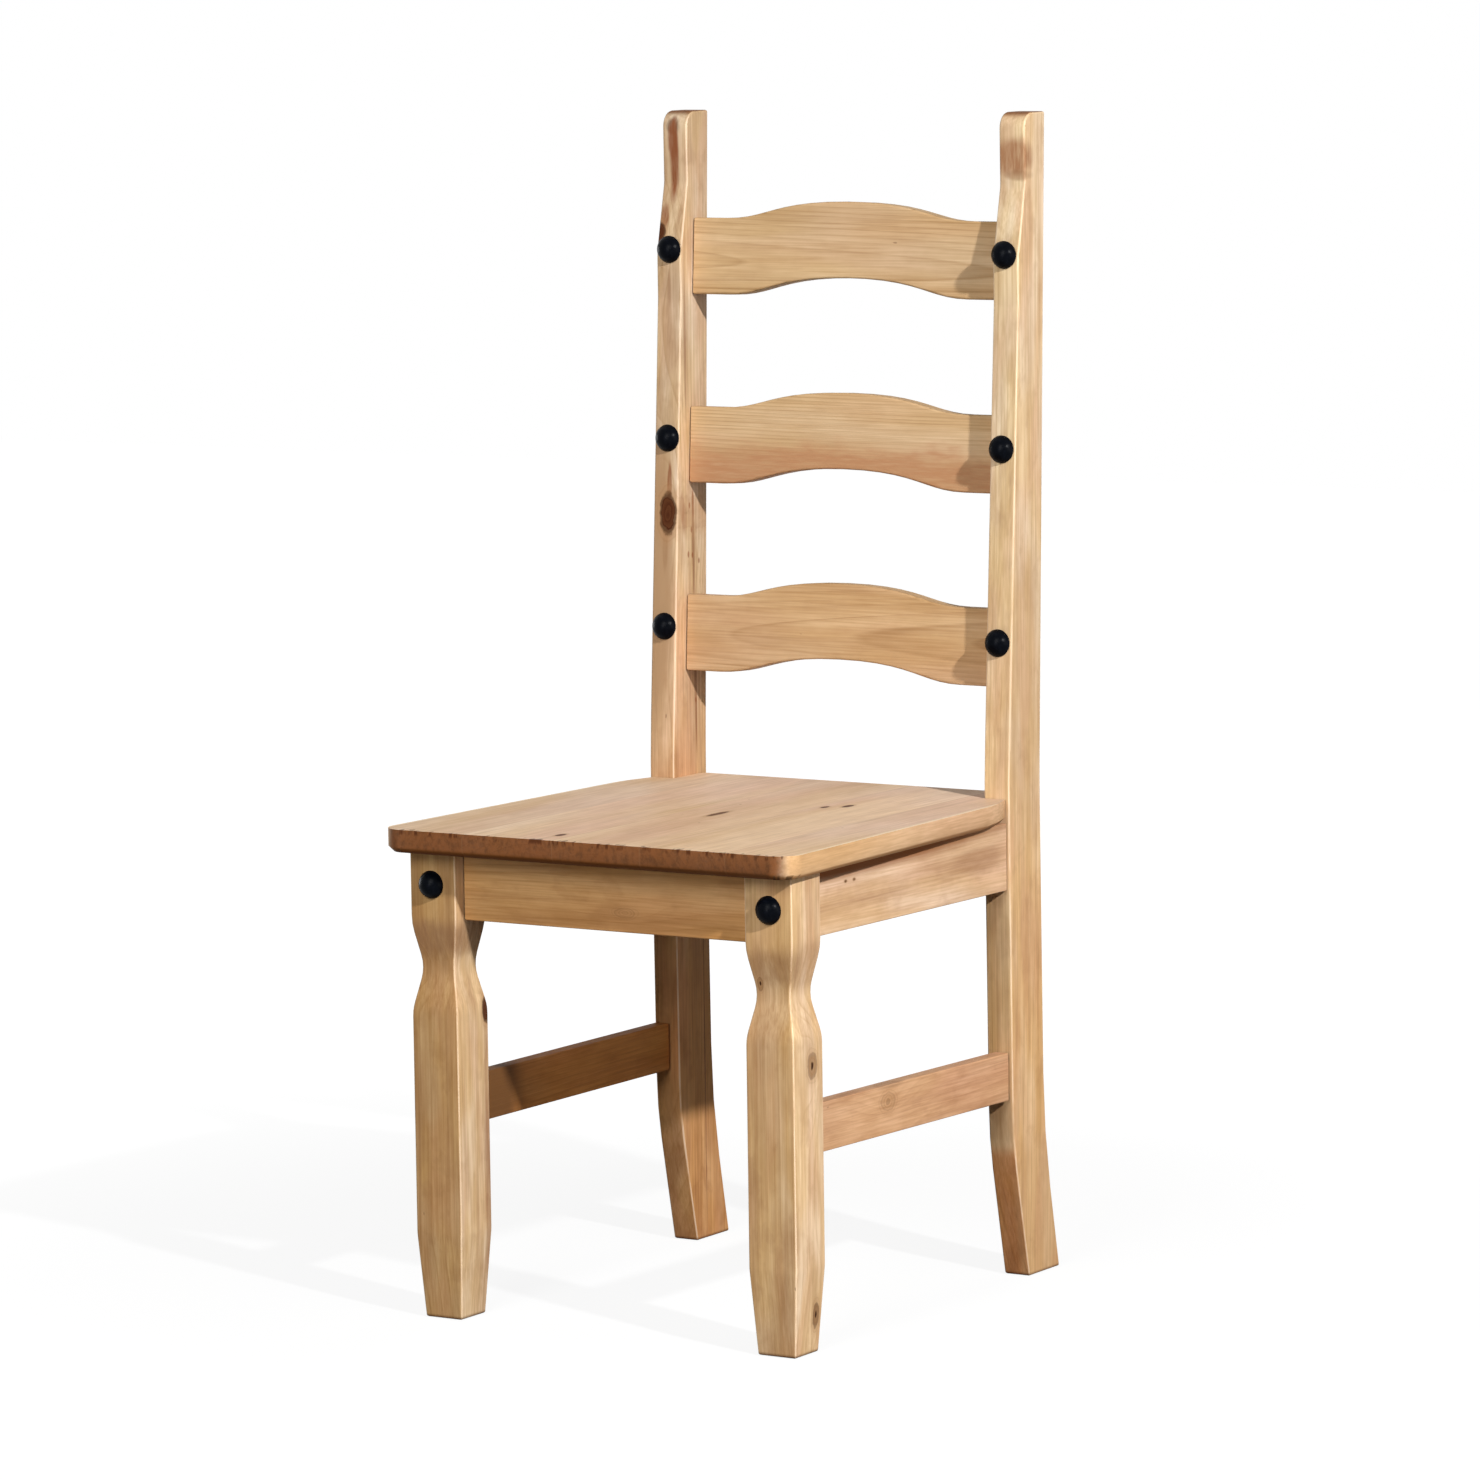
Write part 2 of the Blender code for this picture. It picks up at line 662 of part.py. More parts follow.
def make_corner_block(name, sign, apron_y, into, finish):
    """A glue block across the corner of two aprons, with its place for the seat screw."""
    def on_side_apron(run):
        y = apron_y + into * run
        return sign * (rail_outer_x(y) - APRON_THICKNESS - GAP), y
    def on_cross_apron(run):
        x = rail_outer_x(apron_y) - APRON_THICKNESS - run
        return sign * x, apron_y + into * GAP
    far = BLOCK_SETBACK + BLOCK_RUN
    outline = [on_cross_apron(BLOCK_SETBACK), on_side_apron(BLOCK_SETBACK), on_side_apron(far),
               on_cross_apron(far)]
    block = place(board(outline, BLOCK_HEIGHT, PLAN_VIEW), name, finish)
    block.location.z = RAIL_TOP - BLOCK_HEIGHT / 2
    middle = sum((Vector(corner) for corner in outline), Vector((0.0, 0.0))) / len(outline)
    return block, middle


def screw_profile():
    """Half section of a wood screw from the top of its pan head down to its point."""
    reach = BLOCK_HEIGHT + SCREW_BITE
    return [
        (0.0, SCREW_HEAD_HEIGHT),
        (SCREW_HEAD_RADIUS * 0.8, SCREW_HEAD_HEIGHT),
        (SCREW_HEAD_RADIUS, SCREW_HEAD_HEIGHT * 0.6),
        (SCREW_HEAD_RADIUS, 0.0),
        (SCREW_RADIUS, 0.0),
        (SCREW_RADIUS, SCREW_POINT - reach),
        (0.0, -reach),
    ]


def make_seat_screw(name, place_on_plan, finish, block, seat):
    """A screw driven up through a corner block into the seat."""
    under = RAIL_TOP - BLOCK_HEIGHT
    x, y = place_on_plan
    screw = place(SCREW_MESH, name, finish)
    screw.location = (x, y, under - GAP)
    screw.rotation_euler.x = math.radians(180.0)
    sweep(screw, SCREW_SIDES, True)
    hole = place(SCREW_HOLE_MESH, name + "_hole")
    hole.location = (x, y, under + (BLOCK_HEIGHT + SCREW_BITE) / 2)
    for host in (block, seat):
        cut(host, hole)


clear_scene()
CHAIR = new_collection("dining_chair", bpy.context.scene.collection)
CUTTER_ROOT = new_collection("cutters", bpy.context.scene.collection)
CUTTERS = new_collection("cutter_shapes", CUTTER_ROOT)

pine = wood("pine", (0.58, 0.37, 0.20))
seat_pine = wood("seat pine", (0.55, 0.36, 0.22))
inner_pine = wood("unfinished pine", (0.62, 0.44, 0.27), 0.7)
beech = wood("beech dowel", (0.66, 0.48, 0.30), 0.6)
black = painted_metal("black stud", (0.012, 0.013, 0.016))
steel = painted_metal("zinc screw", (0.45, 0.45, 0.43))

posts = {side: make_rear_post(side, pine) for side in SIDES}
legs = {side: make_front_leg(side, pine) for side in SIDES}
aprons = {side: make_side_apron(side, pine) for side in SIDES}
aprons["front"] = make_cross_apron("front_apron", BLOCK_INNER_X, FRONT_APRON_Y, pine)
aprons["rear"] = make_cross_apron("rear_apron", POST_INNER_HALF, REAR_APRON_Y, pine)
for side in SIDES:
    make_stretcher(side, pine, legs[side], posts[side])
for level in range(len(SLATS)):
    make_slat(level, pine, posts.values())
seat_board = make_seat(seat_pine)

STUD_MESH = half_section("stud", stud_profile())
STUD_HOLE_MESH = rod("stud_hole", NAIL_RADIUS + GAP, NAIL_LENGTH + 4 * GAP, DOWEL_SIDES)
for side, sign in SIDES.items():
    stud_x = sign * (POST_OUTER_HALF - STUD_FROM_POST_OUTER)
    for level, word in enumerate(SLATS):
        z = slat_bottom(level) + STUD_OVER_SLAT_BOTTOM
        head_start = CHAIR_HEIGHT - HEAD_LENGTH
        face_y = post_front_y(min(z, head_start))
        lean = math.atan(FRONT_RAKE) if z < head_start else 0.0
        make_stud("post_stud_" + side + "_" + word, stud_x, face_y, z, lean, black, posts[side])
    make_stud("leg_stud_" + side, sign * (BLOCK_OUTER_X - STUD_FROM_LEG_OUTER), BLOCK_FRONT_Y,
              SEAT_UNDERSIDE - STUD_UNDER_SEAT, 0.0, black, legs[side])

DOWEL_MESH = rod("dowel", DOWEL_RADIUS, DOWEL_LENGTH, DOWEL_SIDES)
DOWEL_HOLE_MESH = rod("dowel_hole", DOWEL_RADIUS + GAP, DOWEL_LENGTH + 2 * GAP, DOWEL_SIDES)
for side in SIDES:
    make_apron_dowels(side, aprons, legs, posts, beech)

SCREW_MESH = half_section("screw", screw_profile())
SCREW_HOLE_MESH = rod("screw_hole", SCREW_RADIUS + GAP, BLOCK_HEIGHT + SCREW_BITE + 4 * GAP, DOWEL_SIDES)
for side, sign in SIDES.items():
    for end, apron_y, into in (("front", FRONT_APRON_Y + APRON_THICKNESS, 1), ("rear", REAR_APRON_Y, -1)):
        label = end + "_" + side
        block, middle = make_corner_block("corner_block_" + label, sign, apron_y, into, inner_pine)
        make_seat_screw("seat_screw_" + label, middle, steel, block, seat_board)
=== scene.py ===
"""Looks of a solid pine ladder-back chair with black domed studs, in the frame of its solids.

Metres, +Z up. The chair faces -Y, and left and right are as seen from its front.
"""
import math

import bmesh
import bpy
from mathutils import Matrix, Vector


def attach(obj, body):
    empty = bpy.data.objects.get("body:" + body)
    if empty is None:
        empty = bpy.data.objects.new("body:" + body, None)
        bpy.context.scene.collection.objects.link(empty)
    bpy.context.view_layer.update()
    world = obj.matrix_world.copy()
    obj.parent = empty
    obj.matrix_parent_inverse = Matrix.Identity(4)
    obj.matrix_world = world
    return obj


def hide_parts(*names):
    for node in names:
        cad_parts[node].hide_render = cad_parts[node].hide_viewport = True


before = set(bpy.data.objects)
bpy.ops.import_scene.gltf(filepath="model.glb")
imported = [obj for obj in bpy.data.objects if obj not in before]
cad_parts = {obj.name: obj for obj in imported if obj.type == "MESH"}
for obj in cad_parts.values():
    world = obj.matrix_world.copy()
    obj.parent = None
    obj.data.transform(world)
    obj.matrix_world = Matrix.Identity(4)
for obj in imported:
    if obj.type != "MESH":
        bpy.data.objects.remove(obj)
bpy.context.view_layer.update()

ALONG = {"X": Vector((1, 0, 0)), "Y": Vector((0, 1, 0)), "Z": Vector((0, 0, 1))}
FRONT = (0.0, -1.0, 0.0)
RIGHT = (1.0, 0.0, 0.0)
UP = (0.0, 0.0, 1.0)
SIDES = (-1, 1)


class Look:
    """A material, with short calls that wire its shader nodes and give back their outputs."""

    def __init__(self, name):
        self.material = bpy.data.materials.new(name)
        self.material.use_nodes = True
        self.tree = self.material.node_tree
        self.surface = self.tree.nodes["Principled BSDF"]
        coordinates = self.node("ShaderNodeTexCoord")
        self.place = coordinates.outputs["Object"]
        self.facing = coordinates.outputs["Normal"]

    def node(self, kind, **settings):
        made = self.tree.nodes.new(kind)
        for key, value in settings.items():
            setattr(made, key, value)
        return made

    def feed(self, socket, value):
        if isinstance(value, bpy.types.NodeSocket):
            self.tree.links.new(value, socket)
        else:
            socket.default_value = value

    def maths(self, operation, *values):
        made = self.node("ShaderNodeMath", operation=operation)
        for socket, value in zip(made.inputs, values):
            self.feed(socket, value)
        return made.outputs[0]

    def product(self, first, *others):
        for other in others:
            first = self.maths("MULTIPLY", first, other)
        return first

    def vector(self, operation, *values):
        made = self.node("ShaderNodeVectorMath", operation=operation)
        for socket, value in zip(made.inputs, values):
            self.feed(socket, value)
        scalar = operation in ("DOT_PRODUCT", "LENGTH", "DISTANCE")
        return made.outputs["Value" if scalar else "Vector"]

    def parts(self, vector):
        """The X, Y and Z outputs of a vector."""
        made = self.node("ShaderNodeSeparateXYZ")
        self.feed(made.inputs[0], vector)
        return made.outputs

    def joined(self, *values):
        """A vector from its X, Y and Z."""
        made = self.node("ShaderNodeCombineXYZ")
        for socket, value in zip(made.inputs, values):
            self.feed(socket, value)
        return made.outputs[0]

    def channels(self, colour):
        """The red, green and blue outputs of a colour."""
        made = self.node("ShaderNodeSeparateColor")
        self.feed(made.inputs[0], colour)
        return made.outputs

    def noise(self, vector, scale, detail=2.0, roughness=0.5, colour=False):
        made = self.node("ShaderNodeTexNoise")
        self.feed(made.inputs["Vector"], vector)
        made.inputs["Scale"].default_value = scale
        made.inputs["Detail"].default_value = detail
        made.inputs["Roughness"].default_value = roughness
        return made.outputs["Color" if colour else "Fac"]

    def step(self, value, low, high):
        """0 at low and 1 at high, smooth between. High may lie below low."""
        made = self.node("ShaderNodeMapRange", interpolation_type="SMOOTHSTEP")
        self.feed(made.inputs["Value"], value)
        self.feed(made.inputs["From Min"], low)
        self.feed(made.inputs["From Max"], high)
        return made.outputs["Result"]

    def bell(self, value, width):
        """1 at nought, falling away on both sides as a bell curve does."""
        squared = self.maths("POWER", self.maths("DIVIDE", value, width), 2.0)
        return self.maths("EXPONENT", self.maths("MULTIPLY", squared, -1.0))

    def ramp(self, value, stops):
        """A grey ramp through (position, level) stops."""
        made = self.node("ShaderNodeValToRGB")
        self.feed(made.inputs["Fac"], value)
        elements = made.color_ramp.elements
        while len(elements) < len(stops):
            elements.new(0.5)
        for element, (position, level) in zip(elements, stops):
            element.position = position
            element.color = (level, level, level, 1.0)
        return made.outputs["Color"]

    def mix(self, amount, first, second, blend="MIX"):
        made = self.node("ShaderNodeMix", data_type="RGBA", blend_type=blend)
        self.feed(made.inputs["Factor"], amount)
        for socket, value in ((made.inputs[6], first), (made.inputs[7], second)):
            self.feed(socket, (*value, 1.0) if isinstance(value, tuple) and len(value) == 3 else value)
        return made.outputs[2]

    def bump(self, relief, distance, strength):
        made = self.node("ShaderNodeBump")
        made.inputs["Strength"].default_value = strength
        made.inputs["Distance"].default_value = distance
        self.feed(made.inputs["Height"], relief)
        self.feed(self.surface.inputs["Normal"], made.outputs["Normal"])


# Linear colours of waxed pine.
PALE = (0.69, 0.49, 0.27)
GOLD = (0.59, 0.39, 0.19)
CREAM = (0.72, 0.56, 0.38)
PINK = (0.60, 0.37, 0.22)
TAN = (0.44, 0.27, 0.145)
LATE = (0.40, 0.235, 0.100)
# Pale arris colour: wear, and partly a painted highlight.
PALE_WEAR_AND_HIGHLIGHT = (0.93, 0.76, 0.53)
KNOT = (0.070, 0.020, 0.008)
KNOT_LIGHT = (0.300, 0.130, 0.052)
KNOT_RIM = (0.045, 0.016, 0.007)
KNOT_HALO = (0.450, 0.245, 0.115)
KNOT_LINE = (0.240, 0.105, 0.040)
KNOT_GOLD = (0.420, 0.225, 0.090)
RED_STREAK = (0.25, 0.085, 0.035)
BROWN_STAIN = (0.30, 0.155, 0.075)
POST_PATCH = (0.36, 0.180, 0.090)
SLAT_PINK = (0.47, 0.240, 0.120)
# Painted shade on the front of the left stretcher.
STRETCHER_SHADE = (0.14, 0.062, 0.022)
SEAM = (0.060, 0.026, 0.012)
# Painted shade under the seat's front edge and along the top of the front apron.
SEAT_SHADE = (0.150, 0.050, 0.009)
# Painted shadow of the seat along the top of the right apron.
SEAT_SHADOW_ON_APRON = (0.240, 0.066, 0.006)
END_GRAIN = (0.213, 0.069, 0.019)
END_STROKE = tuple(level * 0.62 for level in END_GRAIN)
RESIN_PIT = (0.16, 0.065, 0.028)
UNTINTED = (1.0, 1.0, 1.0)

# Noises drawn out along the grain: scale across it, scale along it, detail and roughness.
DRIFT = (11.0, 1.6, 2.0, 0.5)
RING_FADE = (26.0, 2.4, 2.0, 0.5)
FIBRES = (560.0, 11.0, 2.0, 0.6)
BLOTCHES = (60.0, 22.0, 3.0, 0.6)
BROWN_STREAKS = (105.0, 3.4, 3.0, 0.62)
SMUDGES = (48.0, 30.0, 3.0, 0.6)
GRIT = (300.0, 34.0, 3.0, 0.6)
RESIN_CELLS = (90.0, 38.0)

# How dark a year's growth is from one ring to the next, and a knot's own rings.
YEAR = ((0.0, 0.0), (0.45, 0.06), (0.78, 0.42), (0.92, 1.0), (1.0, 0.0))
KNOT_YEAR = ((0.0, 0.0), (0.5, 0.1), (0.85, 1.0), (1.0, 0.0))
RING_WAVER = 1.1

# How a seed shifts the noises, and how much deeper green and blue go than red where wax is thick.
SEED_STEPS = (1.7, 2.3, 3.1)
WARMING = (0.9, 1.2, 1.6)

# Heights from which a tone or a mark sets in, and at which it is full.
LOW_TONE_HEIGHTS = (0.75, 0.15)
FOOT_SHADE_HEIGHTS = (0.130, 0.112)
FOOT_LINE_HEIGHTS = (0.0040, 0.0012)
SEAT_ARRIS_HEIGHTS = (0.4410, 0.4445)

PLANK_WOBBLE = 0.0006
JOINT_WIDTHS = (0.0007, 0.0002)
WOOD_SPECULAR = 0.02


class Pine(Look):
    """Waxed pine, laid on coat by coat: rings and hues first, then tones and painted shade, wear and painted
    highlights, stains and knots.
    """

    def __init__(self, name, grain, seed, tone, planks):
        super().__init__(name)
        self.grain = grain
        self.tone = tone
        self.at = self.parts(self.place)
        self.turned = self.parts(self.facing)
        self.sawn = self.place
        self.seeded = self.vector("ADD", self.place, tuple(seed * change for change in SEED_STEPS))
        self.board_tone = None
        if planks:
            self.glue(planks)
        self.fibre = self.drawn(*FIBRES)
        self.blotch = self.drawn(*BLOTCHES)

    def glue(self, planks):
        """Divide the board into planks, each with its own figure and tone, and find their joints."""
        wobble = self.maths("MULTIPLY", self.noise(self.seeded, 30.0), PLANK_WOBBLE)
        across = self.maths("ADD", self.at["X"], wobble)
        phase, self.board_tone, self.joint = 0.0, 1.0, 0.0
        for place, change, shade in planks:
            passed = self.maths("GREATER_THAN", across, place)
            phase = self.maths("MULTIPLY_ADD", passed, change, phase)
            self.board_tone = self.maths("MULTIPLY_ADD", passed, shade, self.board_tone)
            gap = self.maths("ABSOLUTE", self.maths("SUBTRACT", across, place))
            self.joint = self.maths("MAXIMUM", self.joint, self.step(gap, *JOINT_WIDTHS))
        shift = self.joined(phase, 0.0, self.maths("MULTIPLY", phase, 0.31))
        self.seeded = self.vector("ADD", self.seeded, shift)
        self.sawn = self.vector("ADD", self.place, shift)

    def stretched(self, across, lengthwise):
        """Scales for a texture drawn out along the grain."""
        return tuple(lengthwise if letter == self.grain else across for letter in "XYZ")

    def drawn(self, across, lengthwise, detail, roughness, colour=False):
        """Noise drawn out along the grain."""
        scaled = self.vector("MULTIPLY", self.seeded, self.stretched(across, lengthwise))
        return self.noise(scaled, 1.0, detail, roughness, colour)

    def toned(self, colour):
        """A colour in the board's own tone."""
        return tuple(level * share for level, share in zip(colour, self.tone))

    def cover(self, colour, *amounts):
        """Lay a colour over the coats so far, as thick as the product of the amounts."""
        self.colour = self.mix(self.product(*amounts), self.colour, colour)

    def tint(self, tone, *amounts):
        """Tint the coats so far, as much as the product of the amounts."""
        tinted = self.mix(self.product(*amounts), UNTINTED, tone)
        self.colour = self.mix(1.0, self.colour, tinted, "MULTIPLY")

    def beside(self, centre, out):
        """The way from a knot's axis, which runs through a centre in a direction."""
        away = self.vector("SUBTRACT", self.place, centre)
        along = self.node("ShaderNodeVectorMath", operation="SCALE")
        self.feed(along.inputs[0], out)
        self.feed(along.inputs["Scale"], self.vector("DOT_PRODUCT", away, out))
        return self.vector("SUBTRACT", away, along.outputs["Vector"])

    def grow(self, pith, ring, wander, lean, knots):
        """The rings: distance from the pith, wandering a little along the log and round each knot."""
        self.direction = tuple((ALONG[self.grain] + Vector(lean)).normalized())
        drift = self.vector("SUBTRACT", self.drawn(*DRIFT, colour=True), (0.5, 0.5, 0.5))
        drift = self.vector("MULTIPLY", drift, (wander,) * 3)
        offset = self.vector("ADD", self.vector("SUBTRACT", self.sawn, pith), drift)
        distance = self.vector("LENGTH", self.vector("CROSS_PRODUCT", offset, self.direction))
        self.knots = []
        for centre, out, radius, length, depth in knots:
            away = self.beside(centre, out)
            slender = radius / length
            reach = self.vector("LENGTH", self.vector("MULTIPLY", away, self.stretched(1.0, slender)))
            ragged = self.maths("MULTIPLY_ADD", self.noise(self.seeded, 150.0, 3.0), radius * 0.5, reach)
            self.knots.append((self.maths("SUBTRACT", ragged, radius * 0.25), radius, depth))
            flow = self.vector("MULTIPLY", away, self.stretched(1.0, 0.45 * slender))
            swell = self.bell(self.vector("LENGTH", flow), radius * 2.2)
            distance = self.maths("MULTIPLY_ADD", swell, radius * 1.5, distance)
        waver = self.maths("MULTIPLY", self.noise(distance, 190.0, 1.0), RING_WAVER)
        years = self.maths("ADD", self.maths("DIVIDE", distance, ring), waver)
        latewood = self.ramp(self.maths("FRACT", years), YEAR)
        strength = self.step(self.drawn(*RING_FADE), 0.30, 0.72)
        self.latewood = self.product(latewood, self.maths("MULTIPLY_ADD", strength, 0.75, 0.25))

    def colour_in(self, contrast, blush, cream, patches, figure, busy):
        """Broad hues, then brown streaks and smudges, then the rings."""
        streak = self.drawn(42.0 * busy, 1.6 * busy, 2.0, 0.5)
        self.colour = self.mix(self.step(streak, 0.30, 0.70), self.toned(PALE), self.toned(GOLD))
        hues = self.channels(self.drawn(22.0 * busy, 4.5 * busy, 1.5, 0.5, colour=True))
        self.cover(self.toned(PINK), self.step(hues[0], 0.42, 0.66), blush)
        self.cover(self.toned(CREAM), self.step(hues[1], 0.44, 0.68), cream)
        self.cover(self.toned(TAN), self.step(hues[2], 0.50, 0.70), patches)
        self.cover(self.toned(TAN), self.step(self.drawn(*BROWN_STREAKS), 0.50, 0.70), figure)
        self.cover(self.toned(TAN), self.step(self.drawn(*SMUDGES), 0.52, 0.68), figure * 0.7)
        self.cover(self.toned(LATE), self.latewood, contrast)

    def tone_and_shade_faces(self, low_tone, painted_front_shade, painted_side_shade, painted_foot_shade):
        """Tints towards the floor, and painted shade on the faces that look forwards or sideways and on the
        fronts of the feet.
        """
        forwards = self.step(self.turned["Y"], -0.45, -0.85)
        sideways = self.step(self.maths("ABSOLUTE", self.turned["X"]), 0.45, 0.85)
        if low_tone:
            change = tuple(low / usual for low, usual in zip(low_tone, self.tone))
            self.tint(change, self.step(self.at["Z"], *LOW_TONE_HEIGHTS))
        if painted_front_shade:
            self.tint(painted_front_shade, forwards)
        if painted_side_shade:
            self.tint(painted_side_shade, sideways)
        if painted_foot_shade:
            self.tint(painted_foot_shade, forwards, self.step(self.at["Z"], *FOOT_SHADE_HEIGHTS))

    def mottle(self, figure):
        """Fibres and the uneven take-up of the wax, warmer where it is deeper."""
        fleck = self.maths("MULTIPLY_ADD", self.step(self.fibre, 0.25, 0.75), 0.20, 0.90)
        uneven = 0.07 + 0.20 * figure
        clouds = self.step(self.blotch, 0.28, 0.72)
        shade = self.product(fleck, self.maths("MULTIPLY_ADD", clouds, -uneven, 1.0 + uneven / 2))
        if self.board_tone is not None:
            shade = self.product(shade, self.board_tone)
        warmed = self.joined(*(self.maths("POWER", shade, power) for power in WARMING))
        self.colour = self.mix(1.0, self.colour, warmed, "MULTIPLY")

    def rub_and_highlight(self, arris_wear_highlight):
        """Upright arrises are worn pale, partly as a painted highlight: there the normal lies between two
        faces.
        """
        squares = self.parts(self.vector("MULTIPLY", self.facing, self.facing))
        between = self.step(self.product(squares["X"], squares["Y"]), 0.05, 0.20)
        self.cover(self.toned(PALE_WEAR_AND_HIGHLIGHT), between, self.step(self.blotch, 0.25, 0.55), arris_wear_highlight)

    def dye_ends(self, amount):
        """End grain drinks the wax and goes dark and red, with short strokes where the saw tore it."""
        square = self.maths("ABSOLUTE", self.vector("DOT_PRODUCT", self.facing, self.direction))
        torn = self.noise(self.vector("MULTIPLY", self.seeded, (170.0, 40.0, 120.0)), 1.0, 4.0, 0.65)
        strokes = self.maths("MULTIPLY_ADD", self.latewood, 0.50, self.step(torn, 0.42, 0.70))
        ends = self.mix(strokes, END_GRAIN, END_STROKE)
        self.cover(ends, self.step(square, 0.60, 0.97), amount)

    def rim_wear_and_highlight(self, front_edge, slope, half_width):
        """A seat's sides worn pale along the top, partly as a painted highlight, and its front arris dented.
        """
        reach = self.maths("MULTIPLY_ADD", self.at["Y"], slope, self.maths("ABSOLUTE", self.at["X"]))
        edge = self.step(reach, half_width - 0.0042, half_width - 0.0024)
        upper = self.step(self.turned["Z"], 0.35, 0.60)
        self.cover(PALE_WEAR_AND_HIGHLIGHT, edge, upper, self.step(self.blotch, 0.20, 0.45), 0.75)
        dent = self.noise(self.vector("MULTIPLY", self.seeded, (210.0, 60.0, 60.0)), 1.0, 2.0)
        deep = self.maths("MULTIPLY_ADD", dent, -0.020, self.maths("ADD", self.at["Y"], 0.0075))
        near = self.step(deep, front_edge + 0.0010, front_edge - 0.0005)
        scattered = self.step(self.noise(self.seeded, 37.0, 2.0), 0.34, 0.48)
        self.cover(KNOT, near, self.step(dent, 0.52, 0.60), scattered,
                   self.step(self.at["Z"], *SEAT_ARRIS_HEIGHTS), 0.75)

    def stain(self, shades, stains):
        """Smooth stains, some of them painted shade, and then stains with broken edges."""
        for centre, half, colour, amount in shades:
            away = self.vector("DIVIDE", self.vector("SUBTRACT", self.place, centre), half)
            self.cover(colour, self.step(self.vector("LENGTH", away), 1.20, 0.60), amount)
        grit = self.maths("MULTIPLY_ADD", self.step(self.drawn(*GRIT), 0.30, 0.66), 0.35, 0.65)
        for centre, half, colour, amount in stains:
            away = self.vector("DIVIDE", self.vector("SUBTRACT", self.place, centre), half)
            broken = self.maths("SUBTRACT", self.blotch, 0.5)
            reach = self.maths("MULTIPLY_ADD", broken, 1.1, self.vector("LENGTH", away))
            self.cover(colour, self.step(reach, 1.25, 0.55), grit, amount)

    def draw_knots(self):
        """A warm ring-marked halo, a red-brown heart in a dark rim, and a dark crack in a pale knot."""
        for ragged, radius, depth in self.knots:
            near = self.step(ragged, radius * 2.0, radius * 0.9)
            self.cover(KNOT_HALO, near, 0.12 + 0.43 * depth)
            turns = self.maths("FRACT", self.maths("DIVIDE", ragged, radius * 0.37))
            self.cover(KNOT_LINE, near, self.ramp(turns, KNOT_YEAR), 0.30)
            core = tuple(gold + (dark - gold) * depth ** 2 for gold, dark in zip(KNOT_GOLD, KNOT))
            heart = self.mix(self.maths("MULTIPLY", turns, 0.18), core, KNOT_LIGHT)
            self.cover(heart, self.step(ragged, radius, radius * 0.78), depth)
            if depth < 0.90:
                self.cover(KNOT_RIM, self.step(ragged, radius * 0.40, radius * 0.16), min(1.0, depth * 1.6))
            rim = self.bell(self.maths("SUBTRACT", ragged, radius * 0.95), radius * 0.13)
            self.cover(KNOT_RIM, rim, 0.08 + 0.67 * depth ** 2)

    def pit(self):
        """Small resin pits."""
        cells = self.node("ShaderNodeTexVoronoi")
        scaled = self.vector("MULTIPLY", self.seeded, self.stretched(*RESIN_CELLS))
        self.feed(cells.inputs["Vector"], scaled)
        cells.inputs["Scale"].default_value = 1.0
        rare = self.step(self.channels(cells.outputs["Color"])[0], 0.90, 0.97)
        self.pits = self.product(self.step(cells.outputs["Distance"], 0.11, 0.04), rare)
        self.cover(RESIN_PIT, self.pits, 0.5)

    def finish(self):
        """Wire the coats, the gloss and the relief to the surface."""
        self.feed(self.surface.inputs["Base Color"], self.colour)
        gloss = self.maths("MULTIPLY_ADD", self.fibre, 0.18, 0.40)
        self.feed(self.surface.inputs["Roughness"], self.maths("MULTIPLY_ADD", self.latewood, -0.06, gloss))
        self.surface.inputs["Specular IOR Level"].default_value = WOOD_SPECULAR
        relief = self.maths("MULTIPLY_ADD", self.latewood, 0.45, self.maths("MULTIPLY", self.fibre, 0.5))
        relief = self.maths("MULTIPLY_ADD", self.pits, -1.4, relief)
        self.bump(relief, 0.00035, 0.50)
        return self.material


